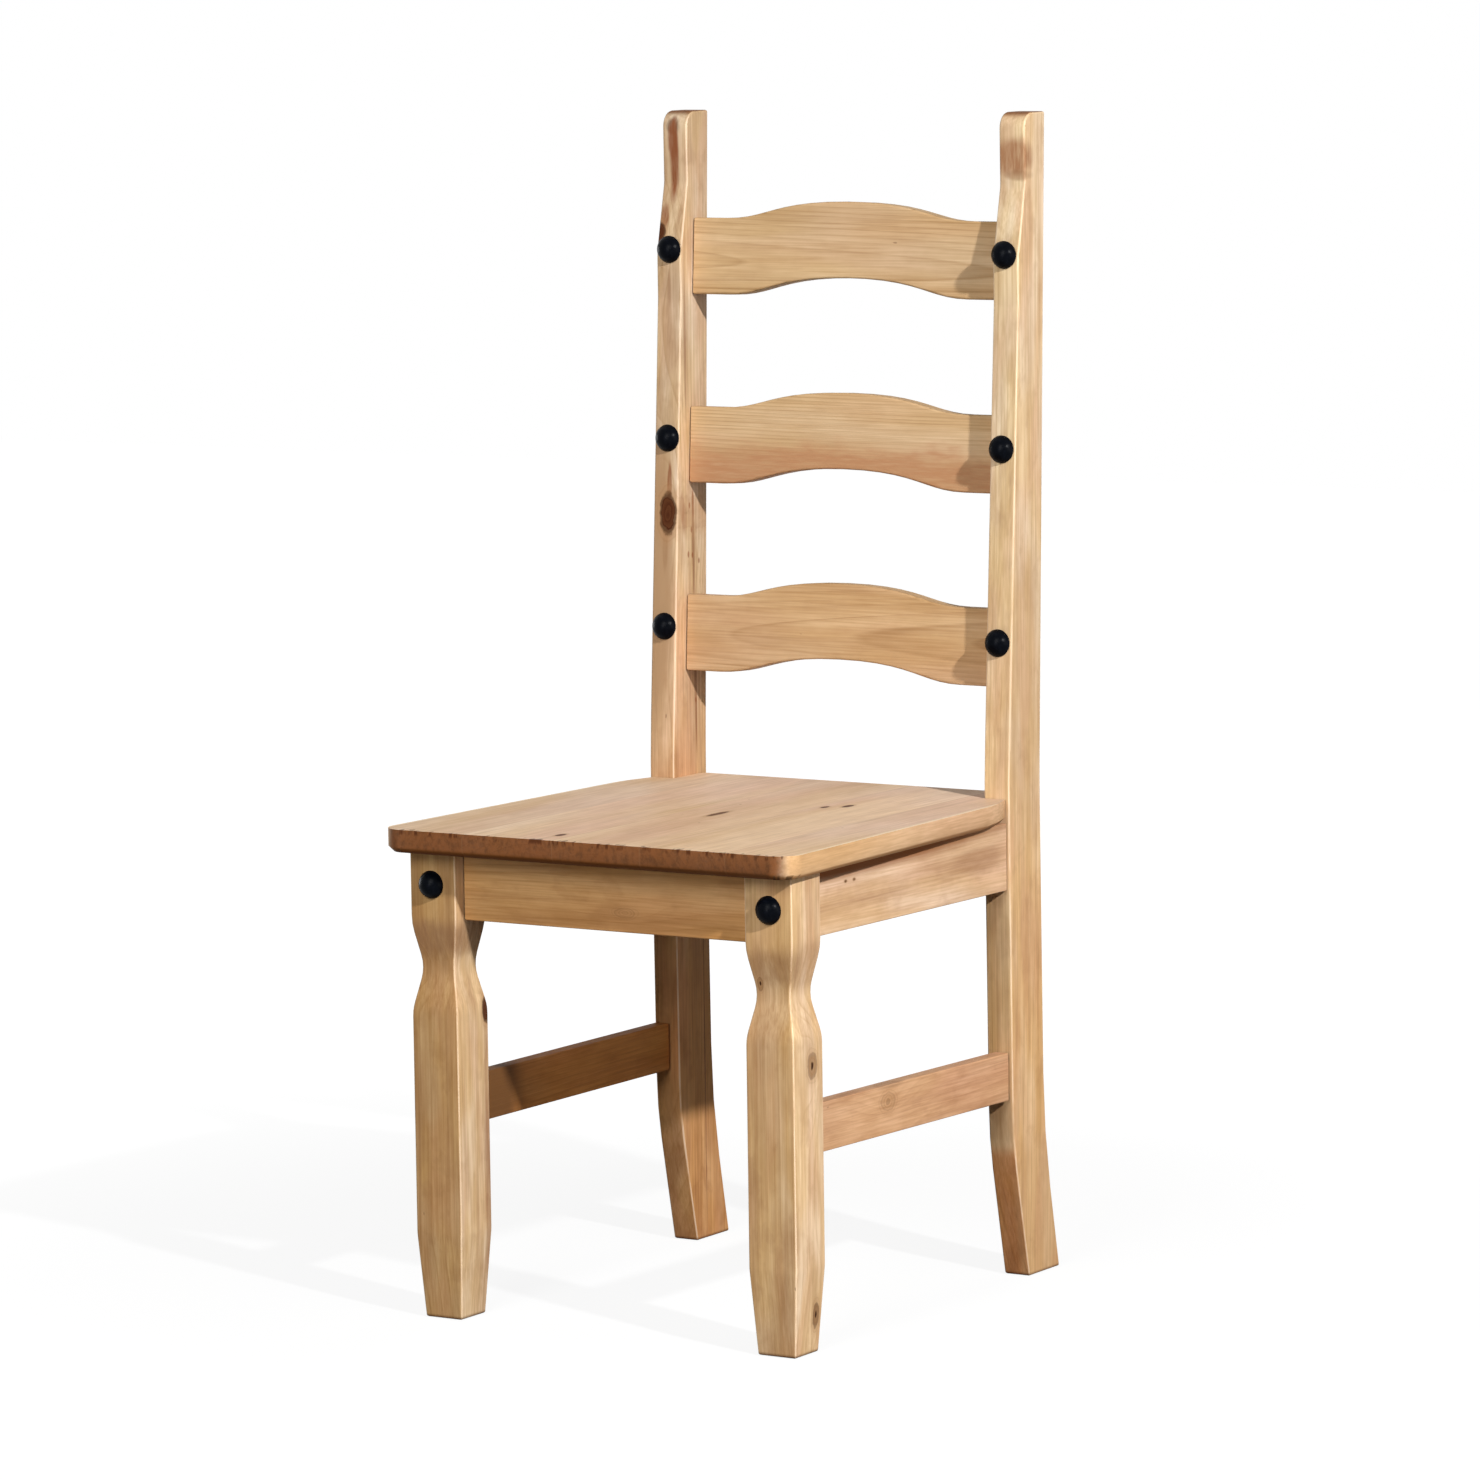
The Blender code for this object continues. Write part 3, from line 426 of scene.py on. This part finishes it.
def pine(name, grain, pith, ring=0.0042, contrast=0.55, wander=0.008, lean=(0.0, 0.0, 0.0), knots=(),
         stains=(), shades=(), blush=0.55, cream=0.55, patches=0.40, arris_wear_highlight=0.45, seed=0.0,
         planks=(), tone=UNTINTED, low_tone=None, painted_front_shade=None, painted_side_shade=None, painted_foot_shade=None,
         under=1.0, end_amount=0.90, figure=0.30, busy=1.0, rim=None):
    """Waxed pine, sawn from a log whose pith runs along the grain through a point.

    knots are (centre, direction out, radius, length along the grain, depth of colour).
    stains are (centre, half sizes, colour, strength), and shades are smooth stains, some of them painted
    shade.
    planks are (place across, change of phase, tone) where one board is glued to the next.
    tone tints the whole board, and low_tone takes over towards the floor.
    painted_front_shade tints its front faces, painted_side_shade its outer sides and painted_foot_shade its
    front below the knee, all three as painted shade, and under darkens what faces the floor as painted
    shade.
    figure is the depth of its brown streaks and blotches, and busy the fineness of its broad hues.
    rim is (front edge, slope of the sides, half width): sides worn pale with a painted highlight, and a
    dented front arris.
    """
    board = Pine(name, grain, seed, tone, planks)
    board.grow(pith, ring, wander, lean, knots)
    board.colour_in(contrast, blush, cream, patches, figure, busy)
    board.tone_and_shade_faces(low_tone, painted_front_shade, painted_side_shade, painted_foot_shade)
    board.mottle(figure)
    board.rub_and_highlight(arris_wear_highlight)
    board.dye_ends(end_amount)
    if rim:
        board.rim_wear_and_highlight(*rim)
    # Darker along the lowest few millimetres of each upright.
    if grain == "Z":
        board.cover(KNOT, board.step(board.at["Z"], *FOOT_LINE_HEIGHTS), 0.60)
    board.stain(shades, stains)
    board.draw_knots()
    board.pit()
    if planks:
        board.cover(BROWN_STAIN, board.joint, 0.22)
    # Painted shade on the faces that look towards the floor.
    if under < 1.0:
        board.tint((under, under * 0.8, under * 0.6), board.step(board.turned["Z"], -0.25, -0.60))
    return board.finish()


PAINT = (0.0014, 0.0020, 0.0036)
WORN_PAINT = (0.005, 0.006, 0.010)
PAINT_SPECULAR = 0.032
DULL_ZINC = (0.42, 0.42, 0.40)
BRIGHT_ZINC = (0.62, 0.61, 0.57)


def satin_black():
    """Baked satin paint over a pressed steel dome."""
    look = Look("satin_black")
    cast = look.noise(look.place, 900.0, 3.0)
    wear = look.noise(look.place, 260.0, 3.0)
    look.feed(look.surface.inputs["Base Color"], look.mix(look.step(wear, 0.50, 0.80), PAINT, WORN_PAINT))
    look.feed(look.surface.inputs["Roughness"], look.maths("MULTIPLY_ADD", wear, 0.12, 0.22))
    look.surface.inputs["Specular IOR Level"].default_value = PAINT_SPECULAR
    look.bump(cast, 0.00025, 0.35)
    return look.material


def plated_steel():
    """Zinc-plated screw."""
    look = Look("zinc_plate")
    brushed = look.noise(look.place, 700.0, 3.0)
    look.feed(look.surface.inputs["Base Color"], look.mix(brushed, DULL_ZINC, BRIGHT_ZINC))
    look.surface.inputs["Metallic"].default_value = 1.0
    look.feed(look.surface.inputs["Roughness"], look.maths("MULTIPLY_ADD", brushed, 0.2, 0.3))
    return look.material


SHARP = math.radians(50.0)
WELD_REACH = 0.00002
FLAT_FACE_WEIGHT = 80


def smooth_sharp(threshold):
    """Node group that shades a mesh smooth and keeps its sharp edges."""
    group = bpy.data.node_groups.new("smooth_by_angle", "GeometryNodeTree")
    for in_out in ("INPUT", "OUTPUT"):
        group.interface.new_socket("Geometry", in_out=in_out, socket_type="NodeSocketGeometry")
    start = group.nodes.new("NodeGroupInput")
    end = group.nodes.new("NodeGroupOutput")
    faces = group.nodes.new("GeometryNodeSetShadeSmooth")
    edges = group.nodes.new("GeometryNodeSetShadeSmooth")
    edges.domain = "EDGE"
    edges.inputs["Shade Smooth"].default_value = False
    angle = group.nodes.new("GeometryNodeInputMeshEdgeAngle")
    over = group.nodes.new("FunctionNodeCompare")
    over.operation = "GREATER_THAN"
    over.inputs[1].default_value = threshold
    link = group.links.new
    link(angle.outputs["Unsigned Angle"], over.inputs[0])
    link(over.outputs[0], edges.inputs["Selection"])
    link(start.outputs[0], faces.inputs["Geometry"])
    link(faces.outputs[0], edges.inputs["Geometry"])
    link(edges.outputs[0], end.inputs[0])
    return group


SMOOTH = smooth_sharp(SHARP)


def finish_node(name, material):
    """Give a solid its finish, and shade its rounded arrises smooth."""
    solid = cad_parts[name]
    if not solid.material_slots:
        solid.data.materials.append(material)
    for slot in solid.material_slots:
        slot.material = material
    weld = solid.modifiers.new("weld", "WELD")
    weld.merge_threshold = WELD_REACH
    smooth = solid.modifiers.new("smooth by angle", "NODES")
    smooth.node_group = SMOOTH
    normals = solid.modifiers.new("flat faces stay flat", "WEIGHTED_NORMAL")
    normals.keep_sharp = True
    normals.weight = FLAT_FACE_WEIGHT


STUD_RINGS = 12
STUD_SIDES = 56
STUD_EDGE = 0.0009
NAIL_RADIUS = 0.0016
NAIL_LENGTH = 0.0130
NAIL_POINT = 0.25


def stud_section(radius, rise):
    """Half section of a pressed dome with a rolled edge, over a pointed nail."""
    sphere = (radius ** 2 + rise ** 2) / (2 * rise)
    open_angle = math.asin(radius / sphere)
    line = []
    for ring in range(STUD_RINGS + 1):
        angle = open_angle * ring / STUD_RINGS
        line.append((sphere * math.sin(angle), STUD_EDGE + rise - sphere + sphere * math.cos(angle)))
    line += [(radius, STUD_EDGE * 0.35), (radius - STUD_EDGE * 0.5, 0.0)]
    line += [(NAIL_RADIUS, 0.0), (NAIL_RADIUS, -NAIL_LENGTH * (1.0 - NAIL_POINT)), (0.0, -NAIL_LENGTH)]
    return line


def make_stud(node, material):
    """A finely turned stud in the place of a solid's coarse one."""
    corners = [vertex.co.copy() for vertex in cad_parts[node].data.vertices]
    tip = max(corners, key=lambda corner: corner.y)
    crown = max(corners, key=lambda corner: (corner - tip).length)
    axis = (crown - tip).normalized()
    radius = max((corner - tip - axis * (corner - tip).dot(axis)).length for corner in corners)
    reach = (crown - tip).length
    section = stud_section(radius, reach - NAIL_LENGTH - STUD_EDGE)
    shape = bmesh.new()
    line = [shape.verts.new((x, 0.0, z)) for x, z in section]
    edges = [shape.edges.new(pair) for pair in zip(line, line[1:])]
    bmesh.ops.spin(shape, geom=line + edges, cent=(0, 0, 0), axis=(0, 0, 1), angle=math.tau,
                   steps=STUD_SIDES, use_duplicate=False)
    bmesh.ops.remove_doubles(shape, verts=shape.verts, dist=0.00001)
    bmesh.ops.recalc_face_normals(shape, faces=shape.faces)
    mesh = bpy.data.meshes.new(node + "_turned")
    shape.to_mesh(mesh)
    shape.free()
    mesh.shade_smooth()
    mesh.set_sharp_from_angle(angle=SHARP)
    stud = bpy.data.objects.new(node + "_turned", mesh)
    bpy.context.scene.collection.objects.link(stud)
    turn = axis.to_track_quat("Z", "Y").to_matrix().to_4x4()
    stud.matrix_world = Matrix.Translation(tip + axis * NAIL_LENGTH) @ turn
    mesh.materials.append(material)
    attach(stud, "root")
    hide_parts(node)


def slat_seams(bottom):
    """Dark lines where a slat enters the two posts."""
    return [((side * 0.1676, 0.20, bottom + 0.035), (0.0011, 0.10, 0.10), SEAM, 0.90) for side in SIDES]


def inner_face_specks(*places):
    """Small dark marks on the left post's inner face, given as places along Y and Z."""
    return [((-0.1679, y, z), (0.004, 0.0017, 0.0032), RED_STREAK, 0.90) for y, z in places]


# Faces that marks lie on, where the solids have them.
POST_INNER = 0.168
APRON_FRONT = -0.211
SEAT_TOP = 0.4468
SEAT_FRONT = -0.2515
SEAT_SLOPE = 0.0369
SEAT_HALF_WIDTH = 0.2067

boards = {
    "rear_post_left": pine(
        # A dark knot between the studs, one behind the top stud, streaks of resin at the head, and painted
        # shade on the front of the foot.
        "pine_post_left", "Z", (-0.150, 0.262, 0.0), ring=0.0052, lean=(0.0, 0.030, 0.0), seed=1.3,
        tone=(0.98, 1.00, 1.09), low_tone=(0.94, 0.68, 0.49), painted_foot_shade=(0.82, 0.84, 0.86),
        blush=0.65, patches=0.50, figure=0.55, contrast=0.62, busy=1.9,
        knots=[((-0.1785, 0.180, 0.6950), FRONT, 0.0088, 0.0190, 1.0),
               ((-0.1935, 0.193, 0.957), FRONT, 0.0062, 0.0100, 1.0)],
        shades=[((-0.1900, 0.180, 0.620), (0.0200, 0.030, 0.170), TAN, 0.95),
                ((-POST_INNER, 0.2060, 0.510), (0.004, 0.0012, 0.055), RED_STREAK, 0.75),
                ((-POST_INNER, 0.2045, 0.650), (0.004, 0.0010, 0.045), BROWN_STAIN, 0.70),
                ((-POST_INNER, 0.1860, 0.700), (0.004, 0.0040, 0.016), RED_STREAK, 0.40)],
        stains=[((-0.183, 0.203, 1.056), (0.0075, 0.03, 0.008), KNOT, 0.75),
                ((-0.183, 0.203, 1.042), (0.0062, 0.03, 0.020), RED_STREAK, 0.90),
                ((-0.182, 0.203, 1.022), (0.0052, 0.03, 0.036), RED_STREAK, 1.0),
                ((-0.1890, 0.193, 0.972), (0.0046, 0.02, 0.013), RED_STREAK, 0.95),
                ((-0.1810, 0.194, 0.905), (0.0022, 0.02, 0.020), BROWN_STAIN, 0.60),
                ((-0.1810, 0.180, 0.660), (0.0030, 0.02, 0.022), BROWN_STAIN, 0.45),
                ((-POST_INNER, 0.2045, 0.660), (0.004, 0.0026, 0.050), BROWN_STAIN, 0.90),
                ((-POST_INNER, 0.1950, 0.850), (0.004, 0.0022, 0.060), BROWN_STAIN, 0.75),
                ((-POST_INNER, 0.2050, 0.530), (0.004, 0.0028, 0.050), BROWN_STAIN, 0.85),
                ((-POST_INNER, 0.1900, 0.690), (0.004, 0.0050, 0.016), RED_STREAK, 0.55),
                ((-POST_INNER, 0.2050, 0.702), (0.004, 0.0020, 0.014), RED_STREAK, 0.90),
                ((-0.1775, 0.181, 0.722), (0.0026, 0.02, 0.022), RED_STREAK, 1.0),
                ((-POST_INNER, 0.212, 0.16), (0.004, 0.0012, 0.18), RED_STREAK, 0.75)]
        + inner_face_specks((0.202, 0.678), (0.196, 0.655), (0.199, 0.701), (0.203, 0.654),
                            (0.214, 0.648), (0.202, 0.612), (0.205, 0.517))),
    "rear_post_right": pine(
        # Ruddy patches below the head and at the knee, tan patches on the outer side, and painted shade on
        # its front faces, deepest at the foot.
        "pine_post_right", "Z", (0.235, 0.150, 0.0), ring=0.0060, lean=(0.0, 0.045, 0.0), seed=2.9,
        tone=(1.12, 1.13, 1.19), low_tone=(1.09, 0.95, 0.82), painted_front_shade=(0.94, 0.99, 1.02),
        contrast=0.45, patches=0.35, figure=0.45, busy=1.9, painted_foot_shade=(0.80, 0.58, 0.46),
        shades=[((0.195, 0.195, 0.560), (0.010, 0.050, 0.130), TAN, 0.28),
                ((0.195, 0.210, 0.040), (0.010, 0.060, 0.090), TAN, 0.25)],
        stains=[((0.181, 0.203, 1.030), (0.021, 0.020, 0.018), POST_PATCH, 1.0),
                ((0.186, 0.203, 1.013), (0.012, 0.020, 0.005), BROWN_STAIN, 0.6),
                ((0.176, 0.165, 0.150), (0.020, 0.020, 0.030), BROWN_STAIN, 0.45)]),
    "front_leg_left": pine(
        # A knot on the shank's rear arris, a red streak below it, a neck browned by the wax and by painted
        # shade under the block, and painted shade on the front faces.
        "pine_leg_left", "Z", (-0.215, -0.150, 0.0), ring=0.0052, lean=(0.02, -0.01, 0.0), seed=4.1,
        tone=(1.10, 1.08, 1.10), painted_front_shade=(0.68, 0.59, 0.45), contrast=0.50, figure=0.50,
        busy=1.9, patches=0.60,
        knots=[((-0.1515, -0.1800, 0.277), RIGHT, 0.0056, 0.0110, 1.0)],
        stains=[((-0.152, -0.181, 0.14), (0.004, 0.005, 0.15), RED_STREAK, 0.55),
                ((-0.176, -0.200, 0.347), (0.060, 0.060, 0.018), BROWN_STAIN, 0.72)]),
    "front_leg_right": pine(
        # A pale knot on the shank, one at the foot, a small one on the neck, the neck browned by wax and by
        # painted shade under the block, and painted shade on the front faces.
        "pine_leg_right", "Z", (0.120, -0.160, 0.0), ring=0.0050, lean=(0.015, 0.012, 0.0), seed=5.7,
        tone=(1.20, 1.18, 1.22), painted_front_shade=(0.76, 0.70, 0.59), contrast=0.48, figure=0.50,
        busy=1.9, patches=0.50,
        knots=[((0.2000, -0.1945, 0.2560), RIGHT, 0.0076, 0.0112, 0.62),
               ((0.2000, -0.1895, 0.0340), RIGHT, 0.0050, 0.0110, 0.75),
               ((0.1640, -0.2170, 0.3290), FRONT, 0.0028, 0.006, 0.6)],
        shades=[((0.1950, -0.1950, 0.345), (0.020, 0.070, 0.024), BROWN_STAIN, 0.26)],
        stains=[((0.176, -0.225, 0.345), (0.060, 0.020, 0.015), BROWN_STAIN, 0.40)]),
    "front_apron": pine(
        # The shade under the seat, and the seams at the legs.
        "pine_front_apron", "X", (0.0, -0.300, 0.330), ring=0.0046, lean=(0.0, 0.03, 0.02), seed=6.2,
        tone=(0.92, 0.71, 0.50), contrast=0.45,
        shades=[((0.0, APRON_FRONT, 0.4275), (0.50, 0.030, 0.0080), SEAT_SHADE, 0.70)],
        knots=[((0.0196, -0.2112, 0.3806), FRONT, 0.0042, 0.010, 0.02)],
        stains=[((side * 0.1516, APRON_FRONT, 0.395), (0.0012, 0.03, 0.10), SEAM, 0.85) for side in SIDES]),
    "rear_apron": pine("pine_rear_apron", "X", (0.0, 0.270, 0.440), seed=7.7),
    "side_apron_left": pine("pine_side_apron_left", "Y", (-0.230, 0.0, 0.350), seed=8.3),
    "side_apron_right": pine(
        # The deep shade under the seat, a ruddy end, the seam at the leg, and two pin knots.
        "pine_side_apron_right", "Y", (0.250, 0.0, 0.360), ring=0.0060, lean=(0.03, 0.0, 0.02), seed=9.1,
        tone=(1.17, 1.12, 1.25), contrast=0.45,
        shades=[((0.190, -0.170, 0.4253), (0.02, 0.360, 0.0165), SEAT_SHADOW_ON_APRON, 0.92)],
        stains=[((0.190, 0.110, 0.398), (0.02, 0.046, 0.013), POST_PATCH, 0.55),
                ((0.190, -0.1758, 0.395), (0.02, 0.0012, 0.10), SEAM, 0.8)],
        knots=[((0.188, -0.0960, 0.4065), RIGHT, 0.0013, 0.0022, 0.8),
               ((0.188, -0.1100, 0.4065), RIGHT, 0.0012, 0.0020, 0.8)]),
    "side_stretcher_left": pine(
        # Painted shade: a tone darker and redder than the right stretcher's, darker still towards the front
        # leg.
        "pine_stretcher_left", "Y", (-0.200, 0.0, 0.150), seed=10.4, tone=(0.89, 0.53, 0.26),
        shades=[((-0.175, -0.155, 0.180), (0.03, 0.060, 0.20), STRETCHER_SHADE, 0.9)]),
    "side_stretcher_right": pine(
        # A chipped arris and a faint knot.
        "pine_stretcher_right", "Y", (0.240, 0.0, 0.170), seed=11.8, tone=(0.99, 0.81, 0.80), contrast=0.35,
        stains=[((0.190, -0.0380, 0.2150), (0.02, 0.024, 0.004), BROWN_STAIN, 0.5)],
        knots=[((0.187, -0.0440, 0.2000), RIGHT, 0.0078, 0.0110, 0.16)]),
    "back_slat_top": pine(
        "pine_slat_top", "X", (0.0, 0.247, 0.925), ring=0.0038, lean=(0.0, 0.014, -0.020), seed=12.6,
        tone=(0.96, 0.94, 0.95), contrast=0.85, wander=0.004, patches=0.10, blush=0.35, cream=0.35,
        figure=0.10, stains=slat_seams(0.899)),
    "back_slat_middle": pine(
        "pine_slat_middle", "X", (0.0, 0.260, 0.700), ring=0.0026, lean=(0.0, 0.006, -0.01), seed=13.2,
        tone=(0.93, 0.89, 0.88), contrast=0.70, wander=0.004, patches=0.10, blush=0.35, cream=0.35,
        figure=0.10,
        stains=slat_seams(0.723) + [((0.0, 0.188, 0.733), (0.30, 0.03, 0.034), SLAT_PINK, 1.0)]),
    "back_slat_bottom": pine(
        "pine_slat_bottom", "X", (0.0, 0.252, 0.580), ring=0.0034, lean=(0.0, -0.020, 0.01), seed=14.9,
        tone=(0.90, 0.83, 0.81), contrast=0.70, wander=0.005, patches=0.15, blush=0.40, cream=0.30,
        figure=0.15, stains=slat_seams(0.547)),
    "seat_board": pine(
        # Five planks, four small knots, sides worn pale with a painted highlight, and painted shade on its
        # sides, underside and lower front edge.
        "pine_seat", "Y", (0.0, 0.0, 0.340), ring=0.0080, lean=(0.02, 0.0, 0.03), seed=15.5,
        tone=(1.16, 1.18, 1.40), painted_side_shade=(0.96, 0.84, 0.68), contrast=0.12, blush=0.60, cream=0.40,
        patches=0.14, figure=0.12, busy=0.55, arris_wear_highlight=0.0, under=0.55, end_amount=0.95,
        rim=(SEAT_FRONT, SEAT_SLOPE, SEAT_HALF_WIDTH),
        shades=[((0.0, SEAT_FRONT, 0.4245), (0.50, 0.012, 0.0068), SEAT_SHADE, 0.80)],
        planks=((-0.125, 0.043, 0.02), (-0.030, -0.061, -0.04), (0.062, 0.052, 0.05), (0.150, 0.037, -0.03)),
        knots=[((-0.0432, -0.2169, SEAT_TOP), UP, 0.0034, 0.007, 1.0),
               ((0.0060, -0.0340, SEAT_TOP), UP, 0.0036, 0.017, 0.95),
               ((0.0692, 0.0478, SEAT_TOP), UP, 0.0028, 0.006, 1.0),
               ((0.0844, 0.0629, SEAT_TOP), UP, 0.0034, 0.008, 1.0)]),
}
for node, material in boards.items():
    finish_node(node, material)

bare = pine("pine_unfinished", "X", (0.0, 0.0, 0.300), tone=(1.10, 1.15, 1.30), seed=16.1)
beech = pine("beech_dowel", "X", (0.0, 0.0, 0.300), ring=0.0020, tone=(1.05, 1.08, 1.20), contrast=0.3,
             seed=17.2)
black = satin_black()
zinc = plated_steel()
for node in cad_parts:
    if "stud" in node:
        make_stud(node, black)
    elif "screw" in node:
        finish_node(node, zinc)
    elif "dowel" in node:
        finish_node(node, beech)
    elif "corner_block" in node:
        finish_node(node, bare)

# Camera, from the photograph's vanishing lines.
PHOTO_PIXELS = 1480
FOCAL_PIXELS = 6860.0
SENSOR_WIDTH = 36.0
CLIP_END = 100.0
CAMERA_PLACE = (3.28, -5.22, 1.254)
YAW, PITCH, ROLL = (math.radians(angle) for angle in (-32.0709, -6.8845, -0.8))


def make_camera():
    """The photograph's camera."""
    data = bpy.data.cameras.new("camera")
    data.sensor_fit = "HORIZONTAL"
    data.sensor_width = SENSOR_WIDTH
    data.lens = SENSOR_WIDTH * FOCAL_PIXELS / PHOTO_PIXELS
    data.clip_end = CLIP_END
    camera = bpy.data.objects.new("camera", data)
    bpy.context.scene.collection.objects.link(camera)
    forward = Vector((math.sin(YAW) * math.cos(PITCH), math.cos(YAW) * math.cos(PITCH), math.sin(PITCH)))
    level = Vector((math.cos(YAW), -math.sin(YAW), 0.0))
    upright = level.cross(forward)
    right = math.cos(ROLL) * level + math.sin(ROLL) * upright
    up = math.cos(ROLL) * upright - math.sin(ROLL) * level
    turn = Matrix((right, up, -forward)).transposed().to_4x4()
    camera.matrix_world = Matrix.Translation(CAMERA_PLACE) @ turn
    bpy.context.scene.camera = camera


make_camera()

CHAIR_MIDDLE = Vector((0.0, 0.0, 0.55))
# Name, place, size, level and shape. The level is what a white card at the chair's middle shows.
LAMPS = (
    ("key", (4.50, -1.92, 3.27), 0.20, 0.99, "DISK"),
    ("front", (0.60, -4.20, 2.60), 2.00, 0.49, "SQUARE"),
    ("low_front", (0.30, -4.60, 0.95), 0.80, 0.16, "SQUARE"),
    ("right_side", (3.30, -0.50, 0.80), 1.60, 0.19, "SQUARE"),
    ("rear", (0.20, 4.50, 0.60), 1.60, 0.30, "SQUARE"),
    ("left_side", (-4.60, 0.60, 0.60), 1.60, 0.24, "SQUARE"),
)


def light(name, place, size, level, shape):
    """A soft lamp that looks at the chair and lights a white card there to a level."""
    data = bpy.data.lights.new(name, "AREA")
    data.shape = shape
    data.size = size
    reach = CHAIR_MIDDLE - Vector(place)
    data.energy = level * math.pi ** 2 * reach.length_squared
    lamp = bpy.data.objects.new(name, data)
    bpy.context.scene.collection.objects.link(lamp)
    lamp.location = place
    lamp.rotation_euler = reach.to_track_quat("-Z", "Y").to_euler()


for lamp in LAMPS:
    light(*lamp)


def seen_rays(tree):
    """1 for rays from the camera, off gloss or through glass, and 0 for the others."""
    path = tree.nodes.new("ShaderNodeLightPath")
    total = path.outputs["Is Camera Ray"]
    for kind in ("Is Glossy Ray", "Is Transmission Ray"):
        most = tree.nodes.new("ShaderNodeMath")
        most.operation = "MAXIMUM"
        tree.links.new(total, most.inputs[0])
        tree.links.new(path.outputs[kind], most.inputs[1])
        total = most.outputs[0]
    return total


def pick(tree, seen, other, wanted):
    """The wanted value for seen rays, the other for the rest."""
    made = tree.nodes.new("ShaderNodeMapRange")
    tree.links.new(seen, made.inputs["Value"])
    made.inputs["To Min"].default_value = other
    if isinstance(wanted, bpy.types.NodeSocket):
        tree.links.new(wanted, made.inputs["To Max"])
    else:
        made.inputs["To Max"].default_value = wanted
    return made.outputs["Result"]


WORLD_LIGHT = 0.014


def make_world():
    """White behind the chair, and next to no light from all round."""
    world = bpy.data.worlds.new("studio")
    bpy.context.scene.world = world
    world.use_nodes = True
    tree = world.node_tree
    background = tree.nodes["Background"]
    background.inputs["Color"].default_value = (1.0, 1.0, 1.0, 1.0)
    tree.links.new(pick(tree, seen_rays(tree), WORLD_LIGHT, 1.0), background.inputs["Strength"])


make_world()

FLOOR_SIZE = 16.0
FLOOR_DROP = 0.0005
FLOOR_GREY = 0.12
FLOOR_GREY_UNSEEN = 0.05
FLOOR_GLOW = 0.895
SHADOW_FULL = 0.4
SHADOW_GONE = 1.7


def make_floor():
    """White floor with the chair's faint shadow, which fades away from the chair."""
    shape = bmesh.new()
    bmesh.ops.create_grid(shape, x_segments=1, y_segments=1, size=FLOOR_SIZE / 2)
    mesh = bpy.data.meshes.new("floor")
    shape.to_mesh(mesh)
    shape.free()
    made = bpy.data.objects.new("floor", mesh)
    bpy.context.scene.collection.objects.link(made)
    made.location.z = -FLOOR_DROP
    finish = bpy.data.materials.new("floor")
    finish.use_nodes = True
    tree = finish.node_tree
    tree.nodes.remove(tree.nodes["Principled BSDF"])
    seen = seen_rays(tree)
    grey = tree.nodes.new("ShaderNodeCombineXYZ")
    for socket in grey.inputs:
        tree.links.new(pick(tree, seen, FLOOR_GREY_UNSEEN, FLOOR_GREY), socket)
    diffuse = tree.nodes.new("ShaderNodeBsdfDiffuse")
    tree.links.new(grey.outputs[0], diffuse.inputs["Color"])
    away = tree.nodes.new("ShaderNodeVectorMath")
    away.operation = "LENGTH"
    tree.links.new(tree.nodes.new("ShaderNodeTexCoord").outputs["Object"], away.inputs[0])
    fade = tree.nodes.new("ShaderNodeMapRange")
    fade.interpolation_type = "SMOOTHSTEP"
    tree.links.new(away.outputs["Value"], fade.inputs["Value"])
    for name, value in (("From Min", SHADOW_FULL), ("From Max", SHADOW_GONE), ("To Min", FLOOR_GLOW)):
        fade.inputs[name].default_value = value
    glow = tree.nodes.new("ShaderNodeEmission")
    tree.links.new(pick(tree, seen, 0.0, fade.outputs["Result"]), glow.inputs["Strength"])
    both = tree.nodes.new("ShaderNodeAddShader")
    tree.links.new(diffuse.outputs[0], both.inputs[0])
    tree.links.new(glow.outputs[0], both.inputs[1])
    tree.links.new(both.outputs[0], tree.nodes["Material Output"].inputs["Surface"])
    mesh.materials.append(finish)
    return made


make_floor()

bpy.context.scene.view_settings.view_transform = "Standard"
